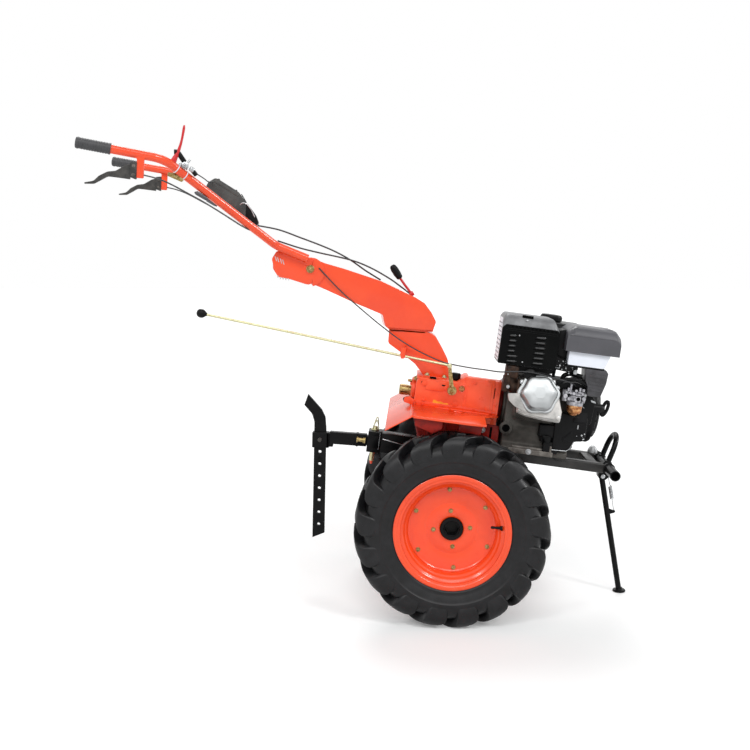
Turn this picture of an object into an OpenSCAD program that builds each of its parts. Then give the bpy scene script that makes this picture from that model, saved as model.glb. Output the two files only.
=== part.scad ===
// Walk-behind rotary tiller (two-wheel tractor chassis) parked on its front stand.
// X forward, Y to the machine's left, Z up; origin at the centre of the stand's foot, on the floor.

/* [Stance] */
// Height of the axle above the floor, equal to the tyre's outer radius
axle_h = 288; // [240:1:340]
// Distance from the axle back of the stand's foot
stand_reach = 558; // [520:1:600]
// Angle that gearbox, engine and frame lean nose-down
nose_down = 7.5; // [4:0.5:10]

/* [Wheels] */
// Distance between the wheel centre planes
track_w = 616; // [580:1:760]
// Width of the tyre
tyre_w = 140; // [110:1:160]
// Radius of the rim's bead seat
bead_r = 152; // [130:1:170]
// Height of the rim flange over the bead seat
flange_h = 20; // [14:1:24]
// Width between the rim flanges
rim_w = 104; // [84:1:110]
// Wall of the pressed rim
rim_wall = 3; // [2:0.5:5]
// Depth of the rim's well under the bead seat
well_depth = 20; // [14:1:26]
// Thickness of the wheel disc
disc_t = 5; // [3:0.5:8]
// Pitch circle of the bolts between disc and rim
rim_bolt_pcd = 235; // [220:1:240]
// Number of bolts between disc and rim
rim_bolts = 6; // [4:1:8]
// Pitch circle of the bolts between disc and hub
hub_bolt_pcd = 108; // [96:1:120]
// Number of bolts between disc and hub
hub_bolts = 4; // [3:1:6]
// Outer radius of the hub tube
hub_r = 34; // [30:1:40]
// Width across the flats of the hexagonal half shaft
shaft_af = 38; // [30:1:42]

/* [Gearbox] */
// Half width of the gearbox
gear_half_w = 98; // [80:1:110]
// Rear face of the gearbox, behind the axle
gear_rear = 157; // [140:1:175]
// Top of the rear half of the gearbox, above the axle
gear_top = 398; // [380:1:410]
// Height that the front half stands over the rear half
gear_step = 32; // [20:1:45]
// Radius of the final drive case around the axle
final_r = 80; // [70:1:86]
// Outer edge of the mudguards, from the centre plane
guard_y = 335; // [300:1:370]
// Sheet thickness of the mudguards
guard_t = 3; // [2:0.5:5]
// Length of the flap behind the mudguards
flap_l = 92; // [60:1:100]
// Angle that the flap drops to the rear
flap_angle = 35; // [20:1:50]
// Radius of the rear power take-off stub
pto_r = 16; // [12:1:20]
// Depth of the shoulder between that stub and its journal
pto_step = 4; // [2:0.5:6]
// Length of the power take-off stub
pto_l = 50; // [40:1:60]

/* [Hitch] */
// Distance of the hitch pin behind the axle
hitch_back = 266; // [255:1:290]
// Height of the hitch centre above the axle
hitch_z = 172; // [165:1:180]
// Radius of the hitch pin
hitch_pin_r = 8; // [6:0.5:9]
// Height of the drawbar
bar_h = 40; // [34:1:44]
// Angle of the drawbar against the gearbox, tail down
bar_lift = 3.5; // [0:0.5:5]
// Distance of the depth stake behind the axle
stake_back = 415; // [405:1:460]
// Height of the stake's clamp pin above the axle
stake_pin_up = 208; // [192:1:222]
// Width of the stake
stake_w = 39; // [30:1:42]
// Thickness of the stake
stake_t = 12; // [8:1:16]
// Lean of the stake, foot to the rear
stake_lean = 1.4; // [0:0.1:3]
// Distance between two holes of the stake
stake_pitch = 40; // [36:1:42]
// Number of holes below the clamp
stake_holes = 7; // [4:1:8]
// Radius of the stake's holes
stake_hole_r = 5; // [4:0.5:6]

/* [Front frame] */
// Side of the square frame rails
rail_s = 30; // [24:1:36]
// Distance of a rail's centre from the centre plane
rail_y = 85; // [70:1:95]
// Top of the rails above the axle
rail_top = 215; // [205:1:225]
// Front end of the rails, ahead of the axle
rail_front = 458; // [450:1:480]
// Outer radius of the front cross tube
cross_r = 16; // [13:1:20]
// Wall of the front cross tube
cross_wall = 3; // [2:0.5:4]
// Length of the front cross tube
cross_l = 396; // [320:1:440]
// Radius of the bumper loop's rod
loop_r = 8.5; // [5:0.5:9]
// Distance between the bumper loop's legs, centre to centre
loop_w = 100; // [84:1:120]
// Height of the bumper loop over the cross tube's centre
loop_h = 109; // [85:1:120]
// Forward lean of the bumper loop
loop_lean = 14; // [0:1:30]
// Radius of the stand's pivot bolt
stand_pin_r = 5; // [4:0.5:7]
// Distance of the stand's pivot under the cross tube's centre
stand_drop = 38; // [34:1:46]
// Radius of the stand's foot
foot_r = 20.5; // [16:0.5:26]

/* [Engine] */
// Rear face of the engine block, ahead of the axle
engine_rear = 128; // [120:1:135]
// Length of the engine block
block_l = 207; // [195:1:215]
// Height of the crankshaft above the rails
crank_h = 135; // [125:1:145]
// Angle of the cylinder above the horizontal
cylinder_slant = 18; // [10:1:25]
// Distance from the crankshaft to the top of the rocker cover
cylinder_reach = 245; // [235:1:250]
// Radius of the fan housing
fan_r = 104; // [95:1:115]
// Radius of the fuel cap
cap_r = 34; // [28:1:40]

/* [Column and arm] */
// Distance of the swivel axis behind the axle, along the gearbox
seam_back = 182; // [175:1:190]
// Height of the swivel seam above the axle
seam_z = 544; // [520:1:570]
// Backward lean of the swivel axis against the gearbox
seam_lean = 3.4; // [0:0.2:6]
// Angle that the handlebar stands swivelled to the right
swivel_rest = 7.6; // [0:0.2:15]
// Radius of the pivot between the column and the arm
swivel_pin_r = 14; // [10:1:20]
// Half width of the column and the arm
arm_half_w = 42; // [36:1:48]
// Distance from the swivel axis back to the tilt bolt
tilt_back = 347; // [335:1:360]
// Height of the tilt bolt over the seam
tilt_up = 171; // [160:1:180]
// Corner radius of the tilt bolt's nuts
tilt_nut_r = 12; // [11.5:0.5:13.5]
// Radius of the tilt bolt
tilt_pin_r = 8; // [6:0.5:10]

/* [Handlebar] */
// Outer radius of the handlebar tubes
bar_r = 12.5; // [11:0.5:15]
// Outer radius of the grips
grip_r = 15; // [14.5:0.5:19]
// Thickness of the bracket's side plates
plate_t = 5; // [4:0.5:7]
// Thickness of the clutch levers
lever_t = 10; // [8:1:14]
// Angle that the clutch levers splay outwards
lever_splay = 4; // [0:1:10]

/* [Hidden] */
$fn = 48;
gap = 0.3;            // standing clearance between curved faces
run = 0.05;           // running clearance at pins and journals
track_half = track_w / 2;
tyre_r = axle_h;
rail_mid = rail_top - rail_s / 2;
crank_z = rail_top + crank_h;
cross_x = rail_front + cross_r + gap;
guard_z = tyre_r + 34;
fan_front = 380;
recoil_front = 424;
tank_top = 628;
muffler_top = 644;
lid_top = 634;
bolt_turn = -3;       // angle of the first wheel bolt from the top
swivel_pin_h = 24;
journal_r = 25;
journal_in = gear_half_w - 14;
journal_out = gear_half_w + 8;
plate_in = arm_half_w + gap;
plate_out = plate_in + plate_t;
case_bottom = gear_top - 108;
side_names = ["right", "left"];

// Handlebar tube, from the bracket to the grip's end; x, y, z from the tilt bolt's centre
bar_route = [[6, plate_out + bar_r + 0.2, tilt_nut_r + bar_r + 3], [-110, plate_out + bar_r + 3, 64],
    [-431, 283, 279], [-664, 312, 303]];
// Radius of the two bends in that tube
bar_bend = [60, 110];
// Clutch lever seen from the side, from its bracket to its tip
lever_outline = [[0, 238], [-33, 233], [-62, 233], [-86, 219], [-98, 206], [-122, 199], [-122, 192],
    [-94, 195], [-79, 205], [-57, 219], [-33, 218], [0, 217]];
// Cable from the console to the arm's top
cable_console_route = [[515, 0, 292], [450, 0, 284], [383, 0, 265], [319, 0, 246], [270, 0, 229],
    [222, 0, 207], [170, 0, 176], [122, 0, 151]];
// Cable from the bracket to the front of the arm
cable_arm_route = [[452, 12, 250], [383, 14, 233], [319, 8, 222], [222, -4, 207], [160, -12, 188],
    [100, -16, 160], [60, -16, 136], [30, -14, 116]];
// Throttle cable from the arm's side to the engine
cable_engine_route = [[-459, -81, 663], [-414, -76, 629], [-355, -79, 590], [-293, -80, 551],
    [-225, -70, 512], [-158, -68, 483], [-93, -76, 464], [-61, -88, 460], [0, -130, 461], [42, -170, 465],
    [85, -201, 468], [120, -203, 474], [173, -201, 479], [235, -202, 473], [285, -196, 466], [310, -182, 459],
    [318, -171, 453]];

// ---- frames of reference ----
module at_axle() translate([-stand_reach, 0, axle_h]) children();
module in_body() at_axle() rotate([0, nose_down, 0]) children();
module in_drawbar() in_body() translate([-hitch_back, 0, hitch_z]) rotate([0, -bar_lift, 0]) children();
module in_stake() translate([-stand_reach - stake_back, 0, axle_h + stake_pin_up]) rotate([0, stake_lean, 0])
    children();
module in_column() in_body() translate([-seam_back, 0, seam_z]) rotate([0, -seam_lean, 0]) children();
module in_swivel() in_column() rotate([0, 0, swivel_rest]) children();
module in_tilt() in_swivel() translate([-tilt_back, 0, tilt_up]) children();

// ---- building blocks ----
// Places its child on the right (-Y) side as drawn for the left (+Y) side
module on_side(side) mirror([0, side == "right" ? 1 : 0, 0]) children();
// Extrudes an outline drawn in X and Z from y0 to y1
module slab(y0, y1) translate([0, y1, 0]) rotate([90, 0, 0]) linear_extrude(y1 - y0) children();
// Extrudes an outline drawn in Y and Z from x0 to x1
module slice(x0, x1) translate([x0, 0, 0]) rotate([90, 0, 90]) linear_extrude(x1 - x0) children();
// Turns a profile of radius and axial place about the Y axis
module turn_y() rotate([-90, 0, 0]) rotate_extrude($fn = 96) children();
module rod_y(r, y0, y1, fn = 48) translate([0, y1, 0]) rotate([90, 0, 0]) cylinder(r = r, h = y1 - y0, $fn = fn);
module rod_x(r, x0, x1, fn = 48) translate([x0, 0, 0]) rotate([0, 90, 0]) cylinder(r = r, h = x1 - x0, $fn = fn);
module box(x, y, z) translate([x[0], y[0], z[0]]) cube([x[1] - x[0], y[1] - y[0], z[1] - z[0]]);
// Round bar between two points
module strut(a, b, r) {
    d = b - a;
    translate(a) rotate([0, acos(d[2] / norm(d)), atan2(d[1], d[0])]) cylinder(r = r, h = norm(d), $fn = 32);
}
// Angle of the bend at point i of a route, and how far before the point that bend begins
function bend_angle(route, i) = acos(unit(route[i] - route[i - 1]) * unit(route[i + 1] - route[i]));
function bend_start(route, bends, i) = i < 1 || i > len(bends) ? 0 : bends[i - 1] * tan(bend_angle(route, i) / 2);

// Round bar along a route with one bend radius for each point between its ends
module bent_bar(route, bends, r) {
    lap = 2;
    for (i = [0:len(route) - 2]) {
        way = unit(route[i + 1] - route[i]);
        cut_a = i > 0 ? bend_start(route, bends, i) - lap : 0;
        cut_b = i < len(bends) ? bend_start(route, bends, i + 1) - lap : 0;
        strut(route[i] + cut_a * way, route[i + 1] - cut_b * way, r);
    }
    for (i = [1:len(bends)]) {
        way = unit(route[i] - route[i - 1]);
        next = unit(route[i + 1] - route[i]);
        out = -unit(next - (next * way) * way);
        up = cross(out, way);
        centre = route[i] - bend_start(route, bends, i) * way - bends[i - 1] * out;
        multmatrix([for (k = [0:2]) [out[k], way[k], up[k], centre[k]]])
            rotate_extrude(angle = bend_angle(route, i), $fn = 96) translate([bends[i - 1], 0]) circle(r = r + 0.1);
    }
}
// Point of a smooth curve through four points, between the second and the third
function curve_at(p, q, r, s, t) = 0.5 * (2 * q + (r - p) * t + (2 * p - 5 * q + 4 * r - s) * t * t
    + (3 * q - p - 3 * r + s) * t * t * t);
function smooth(pts, n) = [for (i = [0:len(pts) - 2], k = [0:n - 1])
    curve_at(pts[max(i - 1, 0)], pts[i], pts[i + 1], pts[min(i + 2, len(pts) - 1)], k / n), pts[len(pts) - 1]];
function unit(v) = v / norm(v);
// Eight-sided tube swept along a route as one closed mesh
module swept(route, r, n, sides = 8) {
    path = smooth(route, n);
    last = len(path) - 1;
    rings = [for (i = [0:last]) let (t = unit(path[min(i + 1, last)] - path[max(i - 1, 0)]),
        u = unit(cross(t, [0, 1, 0])), v = cross(t, u))
        for (k = [0:sides - 1]) path[i] + r * (cos(360 * k / sides) * u + sin(360 * k / sides) * v)];
    faces = concat([[for (k = [0:sides - 1]) k]],
        [for (i = [0:last - 1], k = [0:sides - 1]) let (a = i * sides, b = (k + 1) % sides)
            [a + k, a + sides + k, a + sides + b, a + b]],
        [[for (k = [0:sides - 1]) last * sides + sides - 1 - k]]);
    polyhedron(rings, faces);
}

// ---- wheels, each drawn about its own centre with +Y outboard ----
module at_wheel(side) on_side(side) translate([-stand_reach, track_half, axle_h]) children();

// Half of the tyre's section: outside from the bead to the crown, then inside back again
tyre_half = [[bead_r + gap, rim_w / 2 - 17], [bead_r + gap, rim_w / 2 - gap],
    [bead_r + flange_h + 1, rim_w / 2 - gap],
    [tyre_r - 83, tyre_w / 2 - 4], [tyre_r - 50, tyre_w / 2], [tyre_r - 14, tyre_w / 2 - 3], [tyre_r, tyre_w / 2 - 22]];
tyre_inside = [[bead_r + 14, rim_w / 2 - 12], [tyre_r - 83, tyre_w / 2 - 14], [tyre_r - 46, tyre_w / 2 - 14],
    [tyre_r - 28, tyre_w / 2 - 26]];
function flip(pts) = [for (i = [len(pts) - 1:-1:0]) [pts[i][0], -pts[i][1]]];
function backwards(pts) = [for (i = [len(pts) - 1:-1:0]) pts[i]];

module tyre(side) color("#262628") at_wheel(side) turn_y()
    polygon(concat(tyre_half, flip(tyre_half), [for (p = tyre_inside) [p[0], -p[1]]], backwards(tyre_inside)));

rim_half = [[bead_r - well_depth, rim_w / 2 - 26], [bead_r, rim_w / 2 - 18], [bead_r, rim_w / 2],
    [bead_r + flange_h, rim_w / 2]];
rim_back = [[bead_r - well_depth - rim_wall, rim_w / 2 - 24], [bead_r - rim_wall, rim_w / 2 - 16],
    [bead_r - rim_wall, rim_w / 2 + rim_wall], [bead_r + flange_h, rim_w / 2 + rim_wall]];

// Repeats its child round the wheel's axis, on a pitch circle
module bolt_ring(count, pcd) for (i = [0:count - 1]) rotate([0, bolt_turn + 360 / count * i, 0])
    translate([0, 0, pcd / 2]) children();

module rim(side) color("#f4511e") at_wheel(side) difference() {
    turn_y() union() {
        polygon(concat(rim_half, backwards(rim_back), [for (p = rim_back) [p[0], -p[1]]], flip(rim_half)));
        translate([hub_r + gap, -disc_t]) square([bead_r - well_depth - 1 - hub_r - gap, disc_t]);
    }
    bolt_ring(rim_bolts, rim_bolt_pcd) rod_y(4.2, -disc_t - 1, 1);
    bolt_ring(hub_bolts, hub_bolt_pcd) rod_y(5.2, -disc_t - 1, 1);
}

module hub(side) color("#1d1d1f") at_wheel(side) difference() {
    union() {
        rod_y(hub_r, -track_half + 238, 6, 64);
        rod_y(hub_bolt_pcd / 2 + 16, -disc_t - 8, -disc_t, 64);
    }
    rod_y((shaft_af + 2 * gap) / 2 / cos(30), -track_half, 7, 6);
    bolt_ring(hub_bolts, hub_bolt_pcd) rod_y(5.2, -disc_t - 9, 1);
}

module half_shaft(side) color("#8d9094") at_wheel(side) translate([0, -track_half, 0]) {
    rod_y(shaft_af / 2 / cos(30), journal_out, track_half - 25, 6);
    rod_y(journal_r - run, journal_in + 1, journal_out);
}

// ---- gearbox ----
case_outline = [[-gear_rear, case_bottom], [engine_rear - 44, case_bottom], [engine_rear - 44, gear_top + gear_step],
    [12, gear_top + gear_step], [12, gear_top], [-gear_rear, gear_top]];

module gearbox_case() color("#f4511e") in_body() difference() {
    slab(-gear_half_w, gear_half_w) polygon(case_outline);
    translate([0, 0, crank_z]) rod_x(pto_r - pto_step + run, -gear_rear - 1, -gear_rear + 30);
    translate([-46, 0, gear_top - 15]) rod_y(7 + gap, -gear_half_w - 1, -gear_half_w + 25);
}

module gearbox_cover() color("#f4511e") in_body() {
    box([-gear_rear, 11], [-gear_half_w, gear_half_w], [gear_top, gear_top + 10]);
}

module final_drive_case() color("#d84315") in_body() difference() {
    union() {
        slab(-78, 78) union() {
            circle(r = final_r, $fn = 96);
            polygon([[-final_r, 0], [-118, 100], [-130, 130], [-130, 215], [-gear_rear, case_bottom],
                [100, case_bottom], [88, 160], [final_r, 0]]);
        }
        rod_y(52, -gear_half_w, gear_half_w);
    }
    rod_y(journal_r, journal_in, gear_half_w + 1);
    rod_y(journal_r, -gear_half_w - 1, -journal_in);
}

module clutch_housing() color("#e64a19") in_body() {
    box([engine_rear - 44, engine_rear - 22], [-gear_half_w, gear_half_w], [case_bottom, gear_top + gear_step]);
    translate([0, 0, crank_z]) rod_x(60, engine_rear - 22, engine_rear);
}

module pto_shaft() color("#b9b48f") in_body() translate([0, 0, crank_z]) {
    rod_x(pto_r, -gear_rear - pto_l, -gear_rear);
    rod_x(pto_r - pto_step, -gear_rear - 1, -gear_rear + 28);
}

guard_plan = [[-gear_rear, gear_half_w], [-gear_rear, guard_y], [8, guard_y], [56, guard_y - 12], [62, 180],
    [106, 130], [106, gear_half_w]];

module mudguard(side) color("#f4511e") in_body() on_side(side)
    translate([0, 0, guard_z - guard_t]) linear_extrude(guard_t) polygon(guard_plan);

module rear_flap() color("#f4511e") in_body()
    translate([-gear_rear - guard_t * sin(flap_angle), 0, guard_z]) rotate([0, -flap_angle, 0])
        box([-flap_l, 0], [-guard_y, guard_y], [-guard_t, 0]);

module shift_arm() color("#c9c39a") in_body() {
    translate([-46, 0, gear_top - 15]) {
        rod_y(7, -134, -gear_half_w + 24);
        rod_y(14, -134, -gear_half_w - 2);
    }
    slab(-134, -128) polygon([[-53, gear_top - 8], [-39, gear_top - 8], [-58, 462], [-70, 462]]);
}

rod_r = 4;
rod_front = [-64, -124 + gap, 458];
rod_rear = [-832, -124 + gap, 515];

module shift_rod() color("#c9c27a") in_body() {
    strut(rod_front, rod_rear, rod_r);
    translate(rod_rear + [-13, 0, 1]) sphere(r = 14);
}

// Height of the swivel seam at a place along the gearbox
function seam_at(x) = seam_z + (x + seam_back) * tan(seam_lean);

module column() color("#f4511e") in_body() {
    slab(-arm_half_w, arm_half_w) polygon([[-264, seam_at(-264)], [-261, 496], [-220, 472], [-169, 441],
        [-137, gear_top + 10], [-57, gear_top + 10], [-66, 466], [-87, 496], [-115, 534], [-150, seam_at(-150)]]);
    translate([-seam_back, 0, seam_z]) rotate([0, -seam_lean, 0]) translate([0, 0, -15])
        cylinder(r = swivel_pin_r, h = 15 + swivel_pin_h);
    rod_guide();
}

// Eye on the column's side that the shift rod slides through
module rod_guide() difference() {
    box([-219, -203], [-134, -arm_half_w], [463, 497]);
    strut(rod_front, rod_rear, rod_r + gap);
}

// ---- hitch and depth stake ----
module hitch_yoke() color("#1b1b1c") difference() {
    in_body() {
        box([-hitch_back + 18, -130], [-28, 28], [hitch_z - 32, hitch_z + 32]);
        box([-hitch_back - 20, -hitch_back + 18], [-32, 32], [hitch_z - 34, hitch_z + 34]);
    }
    in_body() translate([-hitch_back, 0, hitch_z - 60]) cylinder(r = hitch_pin_r + run, h = 120);
    in_drawbar() box([-40, 16], [-13 - gap, 13 + gap], [-bar_h / 2 - gap + 4, bar_h / 2 + gap - 4]);
}

module hitch_pin() color("#c9c27a") in_body() translate([-hitch_back, 0, hitch_z]) {
    translate([0, 0, -77]) cylinder(r = hitch_pin_r, h = 125);
    translate([0, 0, 34]) cylinder(r = 13, h = 5);
}

module drawbar() color("#161617") {
    difference() {
        in_drawbar() {
            box([-40, 14], [-13, 13], [-bar_h / 2 + 4, bar_h / 2 - 4]);
            box([-170, -22], [-13, 13], [-bar_h / 2, bar_h / 2]);
        }
        in_body() translate([-hitch_back, 0, hitch_z - 60]) cylinder(r = hitch_pin_r + run, h = 120);
        in_stake() box([-40, 29], [-40, 40], [-60, 60]);
    }
    in_stake() difference() {
        box([-25, 29], [-16, 16], [-25, 25]);
        box([-stake_w / 2 - gap, stake_w / 2 + gap], [-stake_t / 2 - gap, stake_t / 2 + gap], [-26, 26]);
    }
    in_stake() rod_y(8, -24, -16);
}

module depth_stake() color("#1c1c1d") in_stake() difference() {
    slab(-stake_t / 2, stake_t / 2) polygon([[-stake_w / 2, -stake_pitch * stake_holes - 45],
        [stake_w / 2, -stake_pitch * stake_holes - 28], [stake_w / 2, 32], [16, 74], [4, 98], [-41, 147], [-53, 112],
        [-27, 83], [-stake_w / 2, 62]]);
    for (i = [0:stake_holes]) translate([0, 0, -stake_pitch * i]) rod_y(stake_hole_r, -stake_t, stake_t);
}

// ---- front frame ----
module rail_bracket() color("#c23a10") in_body() {
    box([100 + gap, engine_rear - 22], [-gear_half_w, gear_half_w], [rail_top - rail_s, case_bottom]);
}

module frame_rails() color("#1b1b1c") in_body() for (s = [-1, 1]) translate([0, s * rail_y, 0])
    box([engine_rear - 22, rail_front], [-rail_s / 2, rail_s / 2], [rail_top - rail_s, rail_top]);

module cross_tube() color("#1b1b1c") in_body() translate([cross_x, 0, rail_mid]) difference() {
    union() {
        rod_y(cross_r, -cross_l / 2, cross_l / 2, 64);
        for (s = [-1, 1]) slab(s * 19 - 3, s * 19 + 3)
            polygon([[-14, 4], [14, 4], [24, -18], [24, -34], [12, -stand_drop - 12], [-12, -stand_drop - 12]]);
        translate([19, 0, -27]) rod_y(3, -20, 20);
    }
    rod_y(cross_r - cross_wall, -cross_l, cross_l, 64);
    translate([0, 0, -stand_drop]) rod_y(stand_pin_r + run, -30, 30);
}

module bumper_loop() color("#1b1b1c") in_body() translate([cross_x, 0, rail_mid]) difference() {
    rotate([0, loop_lean, 0]) {
        for (s = [-1, 1]) translate([0, s * loop_w / 2, 0]) cylinder(r = loop_r, h = loop_h - loop_w / 2 - loop_r);
        translate([0, 0, loop_h - loop_w / 2 - loop_r]) rotate([90, 0, 90]) rotate_extrude(angle = 180, $fn = 64)
            translate([loop_w / 2, 0]) circle(r = loop_r);
    }
    rod_y(cross_r + gap, -cross_l, cross_l, 64);
}

// The stand's pivot and its foot, ahead of the axle and above the floor
pivot_at = [cross_x * cos(nose_down) + (rail_mid - stand_drop) * sin(nose_down),
    axle_h - cross_x * sin(nose_down) + (rail_mid - stand_drop) * cos(nose_down)];

stand_top = [pivot_at[0], 0, pivot_at[1]];
stand_foot = [stand_reach, 0, 0];
leg_way = unit(stand_foot - stand_top);
leg_front = [-leg_way[2], 0, leg_way[0]];

module stand_leg() color("#1b1b1c") translate([-stand_reach, 0, 0]) {
    difference() {
        union() {
            strut(stand_top, stand_foot, 9);
            translate(stand_top) rod_y(13, -15, 15);
            translate(stand_top) rod_y(stand_pin_r, -25, 25);
            strut(stand_top + 114 * leg_way, stand_top + 120 * leg_way + 24 * leg_front, 3);
        }
        translate([0, 0, -20]) cylinder(r = 2000, h = 20);
    }
    translate(stand_foot) cylinder(r = foot_r, h = 8);
}

module stand_spring() color("#a8a8a0") translate([-stand_reach, 0, 0])
    strut(stand_top + [21, 0, 4], stand_top + 114.4 * leg_way + 21.9 * leg_front, 5);

// ---- engine ----
function side_of(reach, up) = [-reach * cos(cylinder_slant) + up * sin(cylinder_slant),
    crank_z + reach * sin(cylinder_slant) + up * cos(cylinder_slant)];

// Flat top of the engine block
block_top = side_of(90, 80)[1];

module crankcase() color("#77797a") in_body() slice(engine_rear, engine_rear + block_l)
    polygon([[-115, rail_top], [115, rail_top], [115, rail_top + 16], [106, rail_top + 30], [120, crank_z - 30],
        [112, crank_z + 60], [60, block_top], side_of(90, 80), side_of(90, -80), [-100, rail_top + 30],
        [-115, rail_top + 16]]);

module in_slant() in_body() translate([engine_rear + 80, 0, crank_z]) rotate([90 - cylinder_slant, 0, 0]) children();

module cylinder_part() color("#c4c7c8") in_slant() translate([0, 0, 90]) {
    translate([-60, -64, 0]) cube([126, 128, 85]);
    translate([-64, -60, 85]) cube([138, 118, 35]);
}

module rocker_cover() color("#d9dcdd") in_slant() translate([0, 0, 210]) linear_extrude(cylinder_reach - 210)
    polygon([for (i = [0:47]) let (a = 7.5 * i, r = 57 + 3 * cos(6 * a)) [r * cos(a), 0.93 * r * sin(a)]]);

module muffler() color("#161718") in_body() intersection() {
    slab(-190, -50) polygon([[73, 492], [244, 492], [248, 500], [248, 604], [238, 630], [222, muffler_top],
        [84, muffler_top], [73, 634]]);
    slice(73, 248) polygon([[-190, 492], [-50, 492], [-50, muffler_top], [-162, muffler_top], [-183, 632], [-190, 612]]);
}

module exhaust_elbow() color("#4a3a34") in_body() box([100, engine_rear + 16], [-190, -130], [404, 492]);

module air_cleaner() color("#4c4d52") in_body() {
    intersection() {
        slab(-200, -40) polygon([[268, 557], [430, 557], [430, 606], [420, 624], [402, lid_top], [288, lid_top], [268, 618]]);
        slice(268, 430) polygon([[-200, 557], [-40, 557], [-40, lid_top], [-172, lid_top], [-192, 625], [-200, 608]]);
    }
    slab(-190, -50) polygon([[280, 515], [394, 515], [408, 557], [280, 557]]);
}

module intake_duct() color("#2a2b2d") in_body() slab(-185, -105)
    polygon([[334, 515], [400, 515], [408, 470], [398, 428], [354, 428], [354, 452], [338, 472]]);

module carburettor() color("#a5a8ab") in_body() {
    box([engine_rear + 154 + gap, 354], [-190, -130], [395, 450]);
    translate([325, -165, 364]) cylinder(r = 23, h = 32);
}

module fan_housing() color("#222326") in_body() slice(engine_rear + block_l, fan_front) union() {
    translate([0, crank_z + 10]) circle(r = fan_r, $fn = 96);
    polygon([side_of(120, 20), side_of(120, -50), side_of(60, -90), side_of(0, 90)]);
}

module recoil_starter() color("#1b1b1d") in_body() {
    translate([0, 0, crank_z + 10]) {
        rod_x(98, fan_front, fan_front + 32, 96);
        rod_x(84, fan_front, recoil_front, 96);
    }
    translate([0, -80, crank_z + 33]) {
        rod_x(16, fan_front, 432);
        box([430, 440], [-5, 5], [-28, 28]);
    }
}

module fuel_tank() color("#2b2c2e") in_body() {
    intersection() {
        slab(-30, 200) polygon([[120, 512], [388, 512], [388, 590], [354, tank_top], [214, tank_top], [140, 578],
            [120, 556]]);
        slice(120, 388) polygon([[-30, 512], [200, 512], [200, 575], [130, tank_top], [6, tank_top], [-30, 600]]);
    }
    box([130, 330], [0, 40], [block_top, 520]);
}

module fuel_cap() color("#3a3b3d") in_body() translate([248, 60, tank_top]) cylinder(r = cap_r, h = 21);

// ---- swivelling arm ----
module arm() color("#f4511e") in_swivel() difference() {
    union() {
        slab(-arm_half_w, arm_half_w) polygon([[-88, gap], [-102, 10], [-111, 44], [-210, 78], [-313, 117],
            [-tilt_back + 5, tilt_up - 40], [-tilt_back - 5, tilt_up + 36], [-300, 192], [-239, 178], [-125, 149],
            [-14, 106], [18, 89], [42, 61], [59, 33], [50, gap]]);
        translate([-tilt_back, 0, tilt_up - 6]) rod_y(41, -arm_half_w, arm_half_w);
    }
    translate([-tilt_back, 0, tilt_up]) rod_y(tilt_pin_r + run, -100, 100);
    translate([0, 0, -1]) cylinder(r = swivel_pin_r + run, h = swivel_pin_h + 3);
}

module tilt_bolt() color("#c9c39a") in_tilt() {
    rod_y(tilt_pin_r, -plate_out - 1, plate_out + 1);
    for (s = [-1, 1]) translate([0, s * (plate_out + 5.5), 0]) rod_y(tilt_nut_r, -4.5, 4.5, 6);
}

module lock_lever() color("#1b1b1d") in_swivel() {
    strut([-21, 0, 112.8], [-62, 0, 162], 4);
    strut([-60, 0, 160], [-88, 0, 197], 11);
}

// ---- handlebar, drawn from the tilt bolt ----
module handle_bracket() color("#ef4a1a") in_tilt() difference() {
    union() {
        for (s = [-1, 1]) slab(min(s * plate_in, s * plate_out), max(s * plate_in, s * plate_out)) union() {
            translate([0, -9]) circle(r = 45);
            polygon([[10, -53], [-60, -36], [-100, -33], [-118, -8], [-122, 25], [-111, 48], [-60, 46], [4, 35.8]]);
        }
        slab(-plate_in, plate_in) polygon([[-58, -30], [-100, -33], [-118, -8], [-122, 25], [-111, 48], [-66, 44]]);
    }
    rod_y(tilt_pin_r + run, -100, 100);
}

module handlebar(side) color("#f4511e") in_tilt() on_side(side) bent_bar(bar_route, bar_bend, bar_r);

// Straight stretch of a handlebar tube, swollen by a clearance, to cut what sits on it
module bar_cut(i) strut(bar_route[i], bar_route[i + 1], bar_r + gap);

module handle_brace() color("#f4511e") in_tilt() difference() {
    translate([-250, 0, 164]) rod_y(8, -158, 158);
    for (side = side_names) on_side(side) bar_cut(1);
}

bar_end = bar_route[3];
grip_way = unit(bar_end - bar_route[2]);
grip_start = bar_end - 97 * grip_way;

module grip(side) color("#202022") in_tilt() on_side(side) difference() {
    strut(grip_start, bar_end + 4 * grip_way, grip_r);
    strut(grip_start - 10 * grip_way, bar_end + gap * grip_way, bar_r + gap);
}

module clutch_lever(side) color("#1b1b1d") in_tilt() on_side(side) difference() {
    union() {
        box([-502, -484], [291, 301], [217, 285]);
        box([-521, -502], [289, 303], [217, 264]);
        translate([-519, 296, 0]) rotate([0, 0, -lever_splay]) slab(-lever_t / 2, lever_t / 2) polygon(lever_outline);
    }
    bar_cut(2);
}

// Clip of the stop lever on the tube: where it lies and which way is up from it
clip_way = unit(bar_route[2] - bar_route[1]);
clip_at = bar_route[2] - 50 * clip_way;
clip_up = unit([0, 0, 1] - clip_way[2] * clip_way);

module stop_lever() color("#d32f2f") in_tilt() on_side("right") {
    difference() {
        strut(clip_at - 11 * clip_way, clip_at + 11 * clip_way, bar_r + 5);
        bar_cut(1);
    }
    strut(clip_at + (bar_r + 3.5) * clip_up, [-380, 265, 381], 5);
}

module console() color("#1d1e20") in_tilt() slab(-70, 70)
    polygon([[-326, 233], [-301, 256], [-231, 216], [-228, 201], [-201, 179], [-168, 132], [-185, 125]]);

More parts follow.
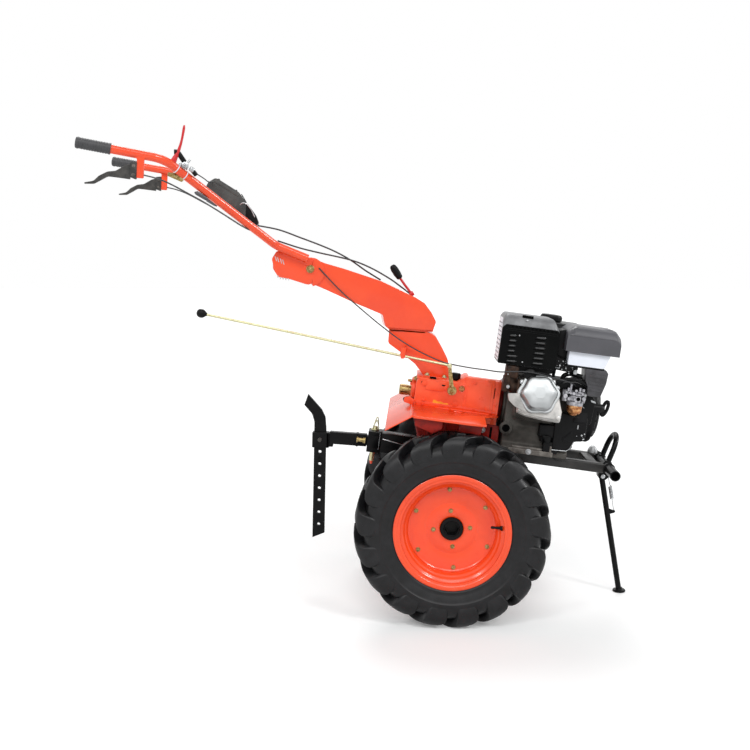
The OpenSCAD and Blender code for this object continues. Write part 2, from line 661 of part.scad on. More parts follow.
module tilt_cables() color("#151515") in_swivel() {
    swept([for (p = cable_console_route) [-p[0], p[1], p[2]]], 2.5, 4);
    swept([for (p = cable_arm_route) [-p[0], p[1], p[2]]], 2.5, 4);
}

module engine_cable() color("#151515") in_body() swept(cable_engine_route, 2, 4);

tyre("right");  // tyre_right
tyre("left");  // tyre_left
rim("right");  // rim_right
rim("left");  // rim_left
hub("right");  // hub_right
hub("left");  // hub_left
half_shaft("right");  // half_shaft_right
half_shaft("left");  // half_shaft_left
gearbox_case();
gearbox_cover();
final_drive_case();
clutch_housing();
pto_shaft();
mudguard("right");  // mudguard_right
mudguard("left");  // mudguard_left
rear_flap();
shift_arm();
shift_rod();
column();
hitch_yoke();
hitch_pin();
drawbar();
depth_stake();
rail_bracket();
frame_rails();
cross_tube();
bumper_loop();
stand_leg();
stand_spring();
crankcase();
cylinder_part();  // cylinder
rocker_cover();
muffler();
exhaust_elbow();
air_cleaner();
intake_duct();
carburettor();
fan_housing();
recoil_starter();
fuel_tank();
fuel_cap();
arm();
tilt_bolt();
lock_lever();
handle_bracket();
handlebar("right");  // handlebar_right
handlebar("left");  // handlebar_left
handle_brace();
grip("right");  // grip_right
grip("left");  // grip_left
clutch_lever("right");  // clutch_lever_right
clutch_lever("left");  // clutch_lever_left
stop_lever();
console();
tilt_cables();
engine_cable();
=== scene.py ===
"""Two-wheel rotary tiller: the visible pieces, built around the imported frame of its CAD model."""

import logging
import math
from dataclasses import dataclass
from enum import Enum
from typing import Iterable, Sequence

import bmesh
import bpy
from mathutils import Matrix, Vector


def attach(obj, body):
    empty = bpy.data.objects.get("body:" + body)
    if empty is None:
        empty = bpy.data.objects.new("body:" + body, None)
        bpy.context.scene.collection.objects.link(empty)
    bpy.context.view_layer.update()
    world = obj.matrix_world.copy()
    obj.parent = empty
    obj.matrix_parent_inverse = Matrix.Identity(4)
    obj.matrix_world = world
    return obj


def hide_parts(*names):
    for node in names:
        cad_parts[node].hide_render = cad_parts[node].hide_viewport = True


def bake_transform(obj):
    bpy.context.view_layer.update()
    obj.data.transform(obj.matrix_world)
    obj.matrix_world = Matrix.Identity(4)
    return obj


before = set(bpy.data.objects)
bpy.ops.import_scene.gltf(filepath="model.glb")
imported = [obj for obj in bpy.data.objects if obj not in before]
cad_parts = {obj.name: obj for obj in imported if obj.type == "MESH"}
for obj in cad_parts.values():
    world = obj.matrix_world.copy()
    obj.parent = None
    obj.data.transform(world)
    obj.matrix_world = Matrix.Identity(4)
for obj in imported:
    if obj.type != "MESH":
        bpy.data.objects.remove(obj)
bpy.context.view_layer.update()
LOG = logging.getLogger("tiller")

Point = Sequence[float]


# ---------------------------------------------------------------- places
def turn(degrees: float, axis: str) -> Matrix:
    """Turns about an axis.

    Args:
        degrees: How far.
        axis: "X", "Y" or "Z".
    Returns:
        The 4x4 matrix.
    """
    return Matrix.Rotation(math.radians(degrees), 4, axis)


def shift(x: float, y: float, z: float) -> Matrix:
    """Returns the 4x4 matrix of a move by (x, y, z)."""
    return Matrix.Translation((x, y, z))


MM = Matrix.Scale(0.001, 4)
OTHER_SIDE = Matrix.Diagonal((1, -1, 1, 1))
AHEAD, BACK = (1, 0, 0), (-1, 0, 0)
FAR, NEAR = (0, 1, 0), (0, -1, 0)
UP, DOWN = (0, 0, 1), (0, 0, -1)

# The axle's middle in metres; the body's own heights, in millimetres, count from there
AXLE = (-0.558, 0, 0.288)
# Height of the crankshaft and of the power take-off
CRANK = 350
# How far the cylinder lies down towards the near side, in degrees over level
LEAN = 18
# The swivel between column and arm: its place on the body, its lean and its turn at rest, in degrees
SWIVEL_AT, SWIVEL_LEAN, SWIVEL_TURN = (-182, 0, 544), 3.4, 7.6

BODY = shift(*AXLE) @ turn(7.5, "Y") @ MM
SWIVEL = BODY @ shift(*SWIVEL_AT) @ turn(-SWIVEL_LEAN, "Y") @ turn(SWIVEL_TURN, "Z")
TILT = SWIVEL @ shift(-347, 0, 171)
DRAWBAR = BODY @ shift(-266, 0, 172) @ turn(-3.5, "Y")
STAKE = shift(-0.973, 0, 0.496) @ turn(1.4, "Y") @ MM
SLANT = BODY @ shift(208, 0, CRANK) @ turn(90 - LEAN, "X")
CROSS = BODY @ shift(474.3, 0, 200)
STAND = shift(-0.0666, 0, 0.3867) @ turn(-9.77, "Y") @ MM


class Side(Enum):
    """The machine's two sides; the right one is mirrored from the left."""

    RIGHT = "right"
    LEFT = "left"

    def of(self, place: Matrix) -> Matrix:
        """Returns the place as seen from this side."""
        return place @ OTHER_SIDE if self is Side.RIGHT else place


class Axis(Enum):
    """Which way an outline's thickness runs; the value orders (a, b, depth) as X, Y, Z."""

    X = (2, 0, 1)
    Y = (0, 2, 1)
    Z = (0, 1, 2)

    def put(self, a: float, b: float, depth: float) -> Vector:
        """Returns the point at (a, b) of the outline's plane and at this depth."""
        return Vector([(a, b, depth)[i] for i in self.value])


# ---------------------------------------------------------------- curves
def both(near: float, far: float) -> tuple[Point, Point]:
    """Returns the span of Y from near to far on the right side, then the same on the left."""
    return (-far, -near), (near, far)


def polar(radius: float, degrees: float) -> tuple[float, float]:
    """Returns the two coordinates of a point at a radius and an angle."""
    angle = math.radians(degrees)
    return radius * math.cos(angle), radius * math.sin(angle)


def on_curve(table: Sequence[Point], share: float) -> list[float]:
    """A place on the smooth curve through some rows of numbers.

    Args:
        table: The rows that the curve passes through.
        share: 0 at the first row, 1 at the last.
    Returns:
        The row of numbers at that share of the way.
    """
    last = len(table) - 1
    at = min(max(share, 0.0), 1.0) * last
    i = min(int(at), last - 1)
    t = at - i
    rows = (table[max(i - 1, 0)], table[i], table[i + 1], table[min(i + 2, last)])
    return [0.5 * (2 * q + (r - p) * t + (2 * p - 5 * q + 4 * r - s) * t * t
                   + (3 * q - p - 3 * r + s) * t ** 3) for p, q, r, s in zip(*rows)]


def smooth(points: Sequence[Point], steps: int = 4) -> list[Vector]:
    """A smooth path through points.

    Args:
        points: What it passes through.
        steps: Pieces between two of them.
    Returns:
        The path's points.
    """
    count = (len(points) - 1) * steps
    return [Vector(on_curve(points, i / count)) for i in range(count + 1)]


def rounded(points: Sequence[Point], radius: float | Sequence[float], steps: int = 4,
            closed: bool = True) -> list[Vector]:
    """Rounds the corners of an outline or a path.

    Args:
        points: Its corners, in two or three dimensions.
        radius: One radius for every corner, or one for each.
        steps: Pieces in each arc.
        closed: Whether the last point joins the first.
    Returns:
        The points of the rounded line.
    """
    line = [Vector(p) for p in points]
    radii = [radius] * len(line) if isinstance(radius, (int, float)) else list(radius)
    out: list[Vector] = []
    for i, corner in enumerate(line):
        before, after = line[i - 1] - corner, line[(i + 1) % len(line)] - corner
        if radii[i] <= 0 or (not closed and i in (0, len(line) - 1)):
            out.append(corner)
            continue
        half = before.angle(after) / 2
        back = min(radii[i] / math.tan(half), 0.49 * before.length, 0.49 * after.length)
        start, end = corner + back * before.normalized(), corner + back * after.normalized()
        for k in range(steps + 1):
            t = k / steps
            a, b = start.lerp(corner, t), corner.lerp(end, t)
            out.append(a.lerp(b, t))
    return out


def ring(radius: float, count: int) -> list[Vector]:
    """Points round a circle, in a plane.

    Args:
        radius: Its radius.
        count: How many points.
    Returns:
        The points.
    """
    angles = [2 * math.pi * k / count for k in range(count)]
    return [Vector((radius * math.cos(a), radius * math.sin(a))) for a in angles]


# ---------------------------------------------------------------- finishes
# Where nearly all values of a noise texture lie, for colours and for roughness
COLOUR_LOW, COLOUR_SPAN = 0.32, 0.36
ROUGH_LOW, ROUGH_HIGH = 0.3, 0.7
COAT_ROUGHNESS = 0.06


def linear(code: str) -> tuple[float, ...]:
    """Turns an sRGB hex colour into linear numbers.

    Args:
        code: Such as "#f05028".
    Returns:
        Red, green, blue and alpha.
    """
    parts = [int(code[i:i + 2], 16) / 255 for i in (1, 3, 5)]
    return tuple(c / 12.92 if c <= 0.04045 else ((c + 0.055) / 1.055) ** 2.4 for c in parts) + (1.0,)


def add(tree: bpy.types.NodeTree, kind: str, values: dict | None = None, links: dict | None = None,
        **settings: object) -> bpy.types.Node:
    """Adds one node with its settings and links.

    Args:
        tree: The node tree.
        kind: The node's type without "ShaderNode".
        values: Its inputs' constant values by name or number.
        links: The outputs that feed its inputs, by the input's name or number.
        settings: Its own properties.
    Returns:
        The node.
    """
    made = tree.nodes.new("ShaderNode" + kind)
    for name, value in settings.items():
        setattr(made, name, value)
    for name, value in (values or {}).items():
        made.inputs[name].default_value = value
    for name, source in (links or {}).items():
        tree.links.new(source, made.inputs[name])
    return made


class Grain(Enum):
    """What relief a surface has close up."""

    PEEL = "soft waves, as on sprayed enamel"
    CAST = "pits and lumps, as from a sand or shell mould"
    SPARK = "even fine pits, as on moulded plastic or rubber"
    DRAWN = "lines along the part, as on rolled or drawn metal"


@dataclass(frozen=True)
class Finish:
    """One real finish and its material.

    Args:
        name: Its common name, used for the material.
        slot: The record's material slot; not used.
        colours: The sRGB colours that its patches run through.
        roughness: The lowest and highest roughness over those patches.
        grain: The kind of relief.
        size: Millimetres between two bumps of the relief.
        relief: Millimetres that a bump stands up.
        patch: Millimetres across a patch of colour.
        metallic: 1 for bare metal.
        ior: Refraction index of a surface that isn't metal.
        coat: Weight of a clear glossy layer.
        shine: Specular level, 0.5 for a clean surface and less for a dusty one.
    """

    name: str
    slot: str
    colours: tuple[str, ...]
    roughness: tuple[float, float]
    grain: Grain = Grain.PEEL
    size: float = 3.0
    relief: float = 0.03
    patch: float = 70.0
    metallic: float = 0.0
    ior: float = 1.5
    coat: float = 0.0
    shine: float = 0.5

    def material(self) -> bpy.types.Material:
        """Makes the material on first use.

        Returns:
            The material.
        """
        made = bpy.data.materials.get(self.name)
        if made:
            return made
        made = bpy.data.materials.new(self.name)
        made.use_nodes = True
        tree = made.node_tree
        tree.nodes.clear()
        place = add(tree, "TexCoord").outputs["Object"]
        patches = add(tree, "TexNoise", {"Scale": 1000 / self.patch, "Detail": 5.0, "Roughness": 0.6},
                      {"Vector": place}).outputs["Fac"]
        colour = self.tint(tree, patches)
        rough = add(tree, "MapRange", {"From Min": ROUGH_LOW, "From Max": ROUGH_HIGH,
                                       "To Min": self.roughness[0], "To Max": self.roughness[1]},
                    {"Value": patches}).outputs["Result"]
        bump = add(tree, "Bump", {"Strength": 1.0, "Distance": self.relief / 1000},
                   {"Height": self.height(tree, place)}).outputs["Normal"]
        shader = add(tree, "BsdfPrincipled", {"Metallic": self.metallic, "IOR": self.ior,
                                              "Coat Weight": self.coat, "Coat Roughness": COAT_ROUGHNESS,
                                              "Specular IOR Level": self.shine},
                     {"Base Color": colour, "Roughness": rough, "Normal": bump})
        add(tree, "OutputMaterial", links={"Surface": shader.outputs["BSDF"]})
        return made

    def tint(self, tree: bpy.types.NodeTree, patches: bpy.types.NodeSocket) -> bpy.types.NodeSocket:
        """Spreads the colours over the patches.

        Args:
            tree: The node tree.
            patches: The patches' noise, from 0 to 1.
        Returns:
            The colour.
        """
        ramp = add(tree, "ValToRGB", links={"Fac": patches})
        band, last = ramp.color_ramp.elements, len(self.colours) - 1
        while len(band) <= last:
            band.new(1.0)
        for i, (stop, code) in enumerate(zip(band, self.colours)):
            stop.position, stop.color = COLOUR_LOW + COLOUR_SPAN * i / last, linear(code)
        return ramp.outputs["Color"]

    def height(self, tree: bpy.types.NodeTree, place: bpy.types.NodeSocket) -> bpy.types.NodeSocket:
        """Adds the relief's nodes.

        Args:
            tree: The node tree.
            place: Object coordinates.
        Returns:
            The height, from 0 to 1.
        """
        pitch = 1000 / self.size
        if self.grain is Grain.DRAWN:
            lines = add(tree, "Mapping", {"Scale": (0.04, 1.0, 1.0)}, {"Vector": place}).outputs["Vector"]
            return add(tree, "TexNoise", {"Scale": pitch, "Detail": 3.0}, {"Vector": lines}).outputs["Fac"]
        if self.grain is Grain.SPARK:
            return add(tree, "TexVoronoi", {"Scale": pitch, "Randomness": 1.0},
                       {"Vector": place}).outputs["Distance"]
        return add(tree, "TexNoise", {"Scale": pitch, "Detail": 4.0 if self.grain is Grain.CAST else 1.0,
                                      "Roughness": 0.65}, {"Vector": place}).outputs["Fac"]


# Sprayed enamel on sheet steel: an even orange with a wet gloss and a faint orange peel
ENAMEL = Finish("sprayed_orange_enamel", "orange_paint", ("#ec4417", "#f24b1a", "#ea4518"), (0.18, 0.28),
                size=2.6, relief=0.02, patch=160, coat=0.12)
# The same enamel over cast iron: duller, with the sand's texture showing through
CASTING = Finish("orange_enamel_on_cast_iron", "cast_iron_orange", ("#f25127", "#f95c31", "#eb4c22"),
                 (0.26, 0.4), Grain.CAST, size=3.2, relief=0.14, patch=60)
# Painted shade: the enamel darkened to a dull deep red for the lower drive and the other parts in shadow
# under the mudguards and between gearbox and engine
SHADED_RED = Finish("red_enamel_darkened_as_painted_shade", "cast_iron_orange", ("#6e1009", "#93180c", "#5c0d08"),
                   (0.35, 0.5), Grain.CAST, size=3.2, relief=0.12, patch=45, shine=0.25)
# The rails' black enamel, made lighter than the other black steel as painted sheen
RAIL_SHEEN_BLACK = Finish("black_enamel_lightened_as_painted_sheen", "black_paint", ("#191817", "#252423", "#343230"), (0.3, 0.45),
                    patch=50, shine=0.35)
# Black enamel on steel tube and plate: deep grey-black with a soft sheen
BLACK_STEEL = Finish("black_enamel_on_steel", "black_paint", ("#060607", "#0b0b0c", "#121213"), (0.24, 0.36),
                     size=2.4, patch=45, shine=0.12)
# Vulcanised tyre rubber: charcoal with a greyer bloom and a dry, fine skin
TYRE = Finish("vulcanised_tyre_rubber", "tyre_rubber", ("#0a0a0b", "#121214", "#1b1b1d"), (0.32, 0.46),
              Grain.SPARK, size=1.6, relief=0.1, patch=38, ior=1.52, shine=0.28)
# Grip rubber: softer and a little lighter than the tyre
GRIP = Finish("moulded_grip_rubber", "grip_rubber", ("#333335", "#444446"), (0.42, 0.56), Grain.SPARK,
              size=1.4, relief=0.08, patch=18, ior=1.52, shine=0.4)
# Black nylon or ABS mouldings: near black, satin, spark-eroded grain
NYLON = Finish("black_moulded_nylon", "black_plastic", ("#070708", "#0c0c0d", "#131315"), (0.3, 0.44),
               Grain.SPARK, size=1.3, relief=0.05, patch=40, shine=0.14)
# Thick hood moulding: a greyer black, lighter than the nose below it
HOOD = Finish("grey_black_abs", "black_plastic", ("#2c2d2d", "#3c3d3c", "#4d4e4c"), (0.35, 0.5),
              Grain.SPARK, size=1.5, relief=0.05, patch=60, shine=0.45)
# Worn black lacquer of the hand levers: dark grey in random lighter and darker patches, satin
LEVER = Finish("worn_black_lacquer", "black_paint", ("#262524", "#343331", "#454340"), (0.3, 0.45), size=2,
               patch=24, shine=0.4)
# Cable sheath: extruded dark grey vinyl
SHEATH = Finish("extruded_vinyl_sheath", "black_plastic", ("#232426", "#303133"), (0.3, 0.42), size=1.5,
                relief=0.02, patch=30, shine=0.45)
# Grey ABS of the air cleaner's lid: even mid grey, satin
GREY_ABS = Finish("grey_moulded_abs", "grey_plastic", ("#4b4b4f", "#525257"), (0.3, 0.42), Grain.SPARK,
                  size=1.2, relief=0.04, patch=80, shine=0.4)
# Pale film over the air cleaner's body: almost white, smooth
PALE_BAND = Finish("pale_smooth_abs", "grey_plastic", ("#dfe4ee", "#eaeef6"), (0.25, 0.35), size=6,
                   relief=0.01, patch=90)
# Galvanised pierced sheet: pale grey with the soft spangle of hot-dip zinc; on the tilt sector's teeth the
# same pale grey is painted highlight, for the glare along their ribs
GALVANISED_AND_HIGHLIGHT = Finish("galvanised_sheet_and_painted_highlight", "bright_cover", ("#b4b6b8", "#c9cbcc", "#dcdedf"), (0.4, 0.55),
                    size=5, relief=0.02, patch=9, metallic=0.35)
# Die-cast aluminium: light warm grey with a matt, pitted skin
ALLOY = Finish("die_cast_aluminium", "cast_aluminium", ("#9b9a97", "#b3b1ae", "#c6c4c0"), (0.4, 0.58),
               Grain.CAST, size=2.2, relief=0.12, patch=30, metallic=0.6)
# The crankcase's cast aluminium, also on the fins: a darker grey than the head's, with a matt pitted skin
DARK_ALLOY = Finish("dark_cast_aluminium", "cast_aluminium", ("#3a3834", "#4a4743", "#5c5954"), (0.45, 0.65),
                    Grain.CAST, size=2.6, relief=0.2, patch=40, metallic=0.4, shine=0.3)
# The guard's shell over the hot muffler: the same black paint as the face, coloured a satin grey as a painted
# reflection of the light from above
SHELL_REFLECTION_GREY = Finish("black_paint_greyed_as_painted_reflection", "exhaust_steel", ("#57585a", "#6c6d6f", "#848587"), (0.34, 0.5),
               Grain.SPARK, size=2, relief=0.05, patch=60)
# Thin ABS of the air duct: charcoal, a little lighter than the covers round it
DUCT = Finish("charcoal_moulded_abs", "black_plastic", ("#2c2b2e", "#38373a", "#434246"), (0.35, 0.5),
              Grain.SPARK, size=1.4, relief=0.05, patch=24, shine=0.45)
# Pressed black louvres and beads: a glossier black, made lighter than the face as painted highlight
LOUVRE_HIGHLIGHT_BLACK = Finish("black_enamel_lightened_as_painted_highlight", "exhaust_steel", ("#101112", "#1a1b1c", "#242526"), (0.14, 0.22),
               size=2.2, relief=0.02, patch=12)
# Pressure-cast alloy of the carburettor: cool grey with bright machined faces
PALE_ALLOY = Finish("pressure_cast_alloy", "cast_aluminium", ("#77767b", "#a3a2a8", "#c9c8cd"), (0.28, 0.4),
                    Grain.CAST, size=2, relief=0.1, patch=8, metallic=0.3, shine=0.6)
# Grey iron foot of the engine with a machined edge
FOOT = Finish("grey_cast_foot", "cast_aluminium", ("#514c48", "#69645f", "#827d78"), (0.4, 0.55), Grain.CAST,
              size=2.4, relief=0.12, patch=24, metallic=0.4, shine=0.3)
# Polished pressed cover: bright, with slight waves from the press
CHROME = Finish("polished_pressed_cover", "bright_cover", ("#9fa2a3", "#acaeaf"), (0.36, 0.42), size=30,
                relief=0.02, patch=80, metallic=1.0)
# Zinc plate with yellow passivation: pale olive gold that drifts to grey and pink
ZINC = Finish("yellow_zinc_plate", "zinc_plate", ("#a39a68", "#cfcda6", "#b9b592", "#c7ab84"), (0.24, 0.42),
              size=1.5, relief=0.02, patch=8, metallic=0.9)
# The wheel bolts' older plating: dark gold to pale gold in small random patches
AGED_ZINC = Finish("aged_yellow_zinc", "zinc_plate", ("#6e5c31", "#98854f", "#c9b88a"), (0.26, 0.4), size=1.4,
                   patch=5, metallic=0.7)
# Bright steel of bolt heads, pins and washers
STEEL = Finish("bright_rolled_steel", "bare_steel", ("#8a8c8e", "#adafb1", "#c2c3c4"), (0.25, 0.4),
               Grain.DRAWN, size=0.6, relief=0.02, patch=20, metallic=1.0)
# Oiled steel of the half shafts, darkened to nearly black as painted shade for the depth of the hub's bore
SHADED_SHAFT_STEEL = Finish("oiled_steel_darkened_as_painted_shade", "bare_steel", ("#0d0d0d", "#1a1918", "#262422"), (0.35, 0.6),
                     Grain.CAST, size=1.8, relief=0.05, patch=18, metallic=0.3, shine=0.2)
# Exhaust steel after its first heat: brown, scaled and dull
HEATED = Finish("heat_browned_steel", "exhaust_steel", ("#1d1613", "#35271f", "#4b382d"), (0.5, 0.75),
                Grain.CAST, size=1.8, relief=0.08, patch=16, metallic=0.4, shine=0.3)
# Stove-enamelled louvred guard: black with a satin gloss
GUARD_BLACK = Finish("black_stove_enamel", "exhaust_steel", ("#030404", "#060707", "#090a0a"), (0.2, 0.3),
                     size=1.8, relief=0.02, patch=50, shine=0.07)
# Pressed float bowl with a gold passivation
BRASS = Finish("passivated_float_bowl", "zinc_plate", ("#5f3d2a", "#a4693f", "#e2b27a"), (0.22, 0.36),
               size=1.2, relief=0.04, patch=11, metallic=0.75)
# Red moulded lever: saturated, semi-gloss
RED = Finish("red_moulded_nylon", "red_plastic", ("#c01a20", "#d0232a"), (0.3, 0.42), Grain.SPARK, size=1.4,
             relief=0.04, patch=20)
# Blank yellow label film on the gearbox
LABEL = Finish("yellow_label_film", "orange_paint", ("#f59f1c", "#fbb036"), (0.3, 0.4), size=9, relief=0.01,
               patch=14)
# Painted shade: a near-black colour for the depth of openings, slits and gaps
SHADE = Finish("unlit_recess", "black_plastic", ("#030303", "#060606"), (0.8, 0.95), Grain.CAST, size=2,
               patch=12, shine=0.05)


# ---------------------------------------------------------------- mesh work
# A hexagon head and the stub of thread over it, as shares of the head's size over its corners
HEAD_TALL, HEAD_CHAMFER = 0.42, 0.07
STUB_TALL, STUB_RADIUS = 0.16, 0.24
# Coil springs are drawn with this many points to a turn
COIL_POINTS = 14


def once(parts: Iterable) -> list:
    """Returns the parts without repeats, in the order they come in."""
    return list(dict.fromkeys(parts))


class Shape:
    """A mesh under construction, drawn in millimetres in a place of its own.

    Args:
        place: The matrix from its millimetres to the row frame.
    """

    def __init__(self, place: Matrix = BODY) -> None:
        self.place, self.pen = place, Matrix()
        self.mesh = bmesh.new()

    def settle(self, verts: Sequence[bmesh.types.BMVert], bevel: float = 0.0, segments: int = 2,
               sharp: float = 28.0) -> "Shape":
        """Moves new geometry by the pen and softens its sharp edges.

        Args:
            verts: The new vertices.
            bevel: Width of the softening, 0 for none.
            segments: Faces across it.
            sharp: The least angle of an edge that is softened, in degrees.
        Returns:
            This shape.
        """
        verts = [v for v in verts if v.is_valid]
        bmesh.ops.transform(self.mesh, matrix=self.pen, verts=verts)
        if bevel > 0:
            bmesh.ops.recalc_face_normals(self.mesh, faces=once(f for v in verts for f in v.link_faces))
            edges = [e for e in once(e for v in verts for e in v.link_edges) if len(e.link_faces) == 2
                     and e.calc_face_angle() > math.radians(sharp)]
            bmesh.ops.bevel(self.mesh, geom=edges, offset=bevel, segments=segments, profile=0.5,
                            affect="EDGES", material=-1, clamp_overlap=True)
        return self

    def box(self, x: Point, y: Point, z: Point, bevel: float = 1.0, segments: int = 2) -> "Shape":
        """Adds a box with softened edges.

        Args:
            x: Its limits along X.
            y: Its limits along Y.
            z: Its limits along Z.
            bevel: Width of the softening, 0 for none.
            segments: Faces across it.
        Returns:
            This shape.
        """
        low, high = Vector((x[0], y[0], z[0])), Vector((x[1], y[1], z[1]))
        size = Matrix.Diagonal((*(high - low), 1))
        made = bmesh.ops.create_cube(self.mesh, size=1.0, matrix=Matrix.Translation((low + high) / 2) @ size)
        return self.settle(made["verts"], bevel, segments)

    def rod(self, start: Point, end: Point, radius: float, tip: float | None = None, sides: int = 24,
            bevel: float = 0.0, segments: int = 2) -> "Shape":
        """Adds a round bar or a cone; six sides make a hexagon.

        Args:
            start: The middle of its first end.
            end: The middle of its other end.
            radius: Its radius at the first end.
            tip: Its radius at the other end, or None for the same.
            sides: Faces round it.
            bevel: Width of the softening, 0 for none.
            segments: Faces across it.
        Returns:
            This shape.
        """
        a, way = Vector(start), Vector(end) - Vector(start)
        place = Matrix.Translation(a + way / 2) @ way.to_track_quat("Z", "Y").to_matrix().to_4x4()
        made = bmesh.ops.create_cone(self.mesh, cap_ends=True, segments=sides, radius1=radius,
                                     radius2=radius if tip is None else tip, depth=way.length, matrix=place)
        return self.settle(made["verts"], bevel, segments, 35 if sides > 12 else 50)

    def turned(self, profile: Sequence[Point], start: Point = (0, 0, 0), way: Point = FAR,
               steps: int = 48) -> "Shape":
        """Spins a profile about an axis. One that ends on the axis is left open there, as it closes itself.

        Args:
            profile: Its points, as radius and distance along the axis.
            start: Where the axis starts.
            way: The axis' direction.
            steps: Faces round it.
        Returns:
            This shape.
        """
        line = [self.mesh.verts.new((p[0], 0, p[1])) for p in profile]
        pairs = list(zip(line, line[1:])) + ([(line[-1], line[0])] if profile[-1][0] else [])
        edges = [self.mesh.edges.new(pair) for pair in pairs]
        old = set(self.mesh.verts) - set(line)
        bmesh.ops.spin(self.mesh, geom=line + edges, cent=(0, 0, 0), axis=(0, 0, 1), angle=2 * math.pi,
                       steps=steps, use_merge=True)
        made = [v for v in self.mesh.verts if v not in old]
        bmesh.ops.remove_doubles(self.mesh, verts=made, dist=1e-4)
        made = [v for v in made if v.is_valid]
        direction = Vector(way).to_track_quat("Z", "Y").to_matrix().to_4x4()
        bmesh.ops.transform(self.mesh, matrix=Matrix.Translation(start) @ direction, verts=made)
        return self.settle(made)

    def plate(self, outline: Sequence[Point], low: float, high: float, axis: Axis = Axis.Y,
              bevel: float = 1.0, segments: int = 2, sharp: float = 28.0) -> "Shape":
        """Gives a flat outline a thickness.

        Args:
            outline: Its corners.
            low: Where the thickness starts.
            high: Where it ends.
            axis: Which way the thickness runs.
            bevel: Softening of its edges.
            segments: Faces across the softening.
            sharp: The least angle of an edge that is softened, in degrees.
        Returns:
            This shape.
        """
        base = [self.mesh.verts.new(axis.put(p[0], p[1], low)) for p in outline]
        face = self.mesh.faces.new(base)
        grown = bmesh.ops.extrude_face_region(self.mesh, geom=[face])["geom"]
        top = [v for v in grown if isinstance(v, bmesh.types.BMVert)]
        bmesh.ops.translate(self.mesh, verts=top, vec=axis.put(0, 0, high - low))
        return self.settle(base + top, bevel, segments, sharp)

    def stack(self, outline: Sequence[Point], levels: Sequence[Point], axis: Axis = Axis.Z) -> "Shape":
        """Raises an outline level by level, each with its own size.

        Args:
            outline: The outline at scale 1.
            levels: Depth and scale of each level, the first being the base.
            axis: Which way the levels run.
        Returns:
            This shape.
        """
        def at(p: Point, level: Point) -> Vector:
            """Returns a point of the outline at a level."""
            return axis.put(p[0] * level[1], p[1] * level[1], level[0])

        base = [self.mesh.verts.new(at(p, levels[0])) for p in outline]
        face, made = self.mesh.faces.new(base), list(base)
        for level in levels[1:]:
            grown = bmesh.ops.extrude_face_region(self.mesh, geom=[face])["geom"]
            face = next(f for f in grown if isinstance(f, bmesh.types.BMFace))
            for vert, p in zip(face.verts, outline):
                vert.co = at(p, level)
            made += list(face.verts)
        return self.settle(made)

    def hood(self, outline: Sequence[Point], levels: Sequence[Point], low: float) -> "Shape":
        """Pulls an outline of X and Z through levels of Y while its upper part sinks.

        Args:
            outline: The outline at full height.
            levels: Y and the top's height at each level.
            low: The height below which nothing moves.
        Returns:
            This shape.
        """
        top = max(p[1] for p in outline)
        old = set(self.mesh.verts)
        self.stack(outline, [(y, 1.0) for y, _ in levels], axis=Axis.Y)
        for vert in self.mesh.verts:
            if vert not in old and vert.co.z > low:
                height = min(levels, key=lambda level: abs(level[0] - vert.co.y))[1]
                vert.co.z = low + (vert.co.z - low) * (height - low) / (top - low)
        return self

    def pipe(self, points: Sequence[Point], radius: float | Sequence[float], sides: int = 12,
             flat: float = 1.0) -> "Shape":
        """Pulls a round section along a path.

        Args:
            points: The path.
            radius: The section's radius, or one for each point.
            sides: Faces round the section.
            flat: The section's height as a share of its width.
        Returns:
            This shape.
        """
        path = [Vector(p) for p in points]
        radii = [radius] * len(path) if isinstance(radius, (int, float)) else list(radius)
        ways = [(path[min(i + 1, len(path) - 1)] - path[max(i - 1, 0)]).normalized()
                for i in range(len(path))]
        spin = ways[0].to_track_quat("Z", "Y")
        frames = []
        for i, point in enumerate(path):
            if i:
                spin = ways[i - 1].rotation_difference(ways[i]) @ spin
            frames.append(Matrix.Translation(point) @ spin.to_matrix().to_4x4()
                          @ Matrix.Diagonal((radii[i], radii[i] * flat, radii[i], 1)))
        made = bmesh.ops.create_circle(self.mesh, cap_ends=True, segments=sides, radius=1.0,
                                       matrix=frames[0])["verts"]
        face = made[0].link_faces[0]
        for before, after in zip(frames, frames[1:]):
            grown = bmesh.ops.extrude_face_region(self.mesh, geom=[face])["geom"]
            face = next(f for f in grown if isinstance(f, bmesh.types.BMFace))
            bmesh.ops.transform(self.mesh, matrix=after @ before.inverted(), verts=list(face.verts))
            made = made + list(face.verts)
        return self.settle(made)

    def coil(self, start: Point, end: Point, radius: float, wire: float, turns: float) -> "Shape":
        """Adds a coil spring.

        Args:
            start: Where its axis starts.
            end: Where its axis ends.
            radius: From the axis to the wire's middle.
            wire: The wire's radius.
            turns: How many turns.
        Returns:
            This shape.
        """
        a, way = Vector(start), Vector(end) - Vector(start)
        place = Matrix.Translation(a) @ way.to_track_quat("Z", "Y").to_matrix().to_4x4()
        count = int(turns * COIL_POINTS)
        points = [place @ Vector((radius * math.cos(2 * math.pi * turns * i / count),
                                  radius * math.sin(2 * math.pi * turns * i / count), way.length * i / count))
                  for i in range(count + 1)]
        return self.pipe(points, wire, 6)

    def bolt(self, at: Point, way: Point, across: float = 13.0, washer: float = 0.0,
             tall: float = 0.0) -> "Shape":
        """Adds a hexagon head with its chamfer, on a washer if one is given.

        Args:
            at: The middle of what it sits on.
            way: Which way it stands.
            across: The hexagon's size over its corners.
            washer: The washer's diameter, 0 for none.
            tall: The head's height, 0 for the usual share of its size.
        Returns:
            This shape.
        """
        foot, up = Vector(at), Vector(way).normalized()
        tall = tall or HEAD_TALL * across
        if washer:
            self.rod(foot - 0.4 * up, foot + 1.6 * up, washer / 2, sides=20, bevel=0.4, segments=1)
        self.rod(foot, foot + tall * up, across / 2, sides=6, bevel=HEAD_CHAMFER * across, segments=1)
        return self.rod(foot + (tall - 0.5) * up, foot + (tall + STUB_TALL * across) * up,
                        STUB_RADIUS * across, sides=12, bevel=0.4)

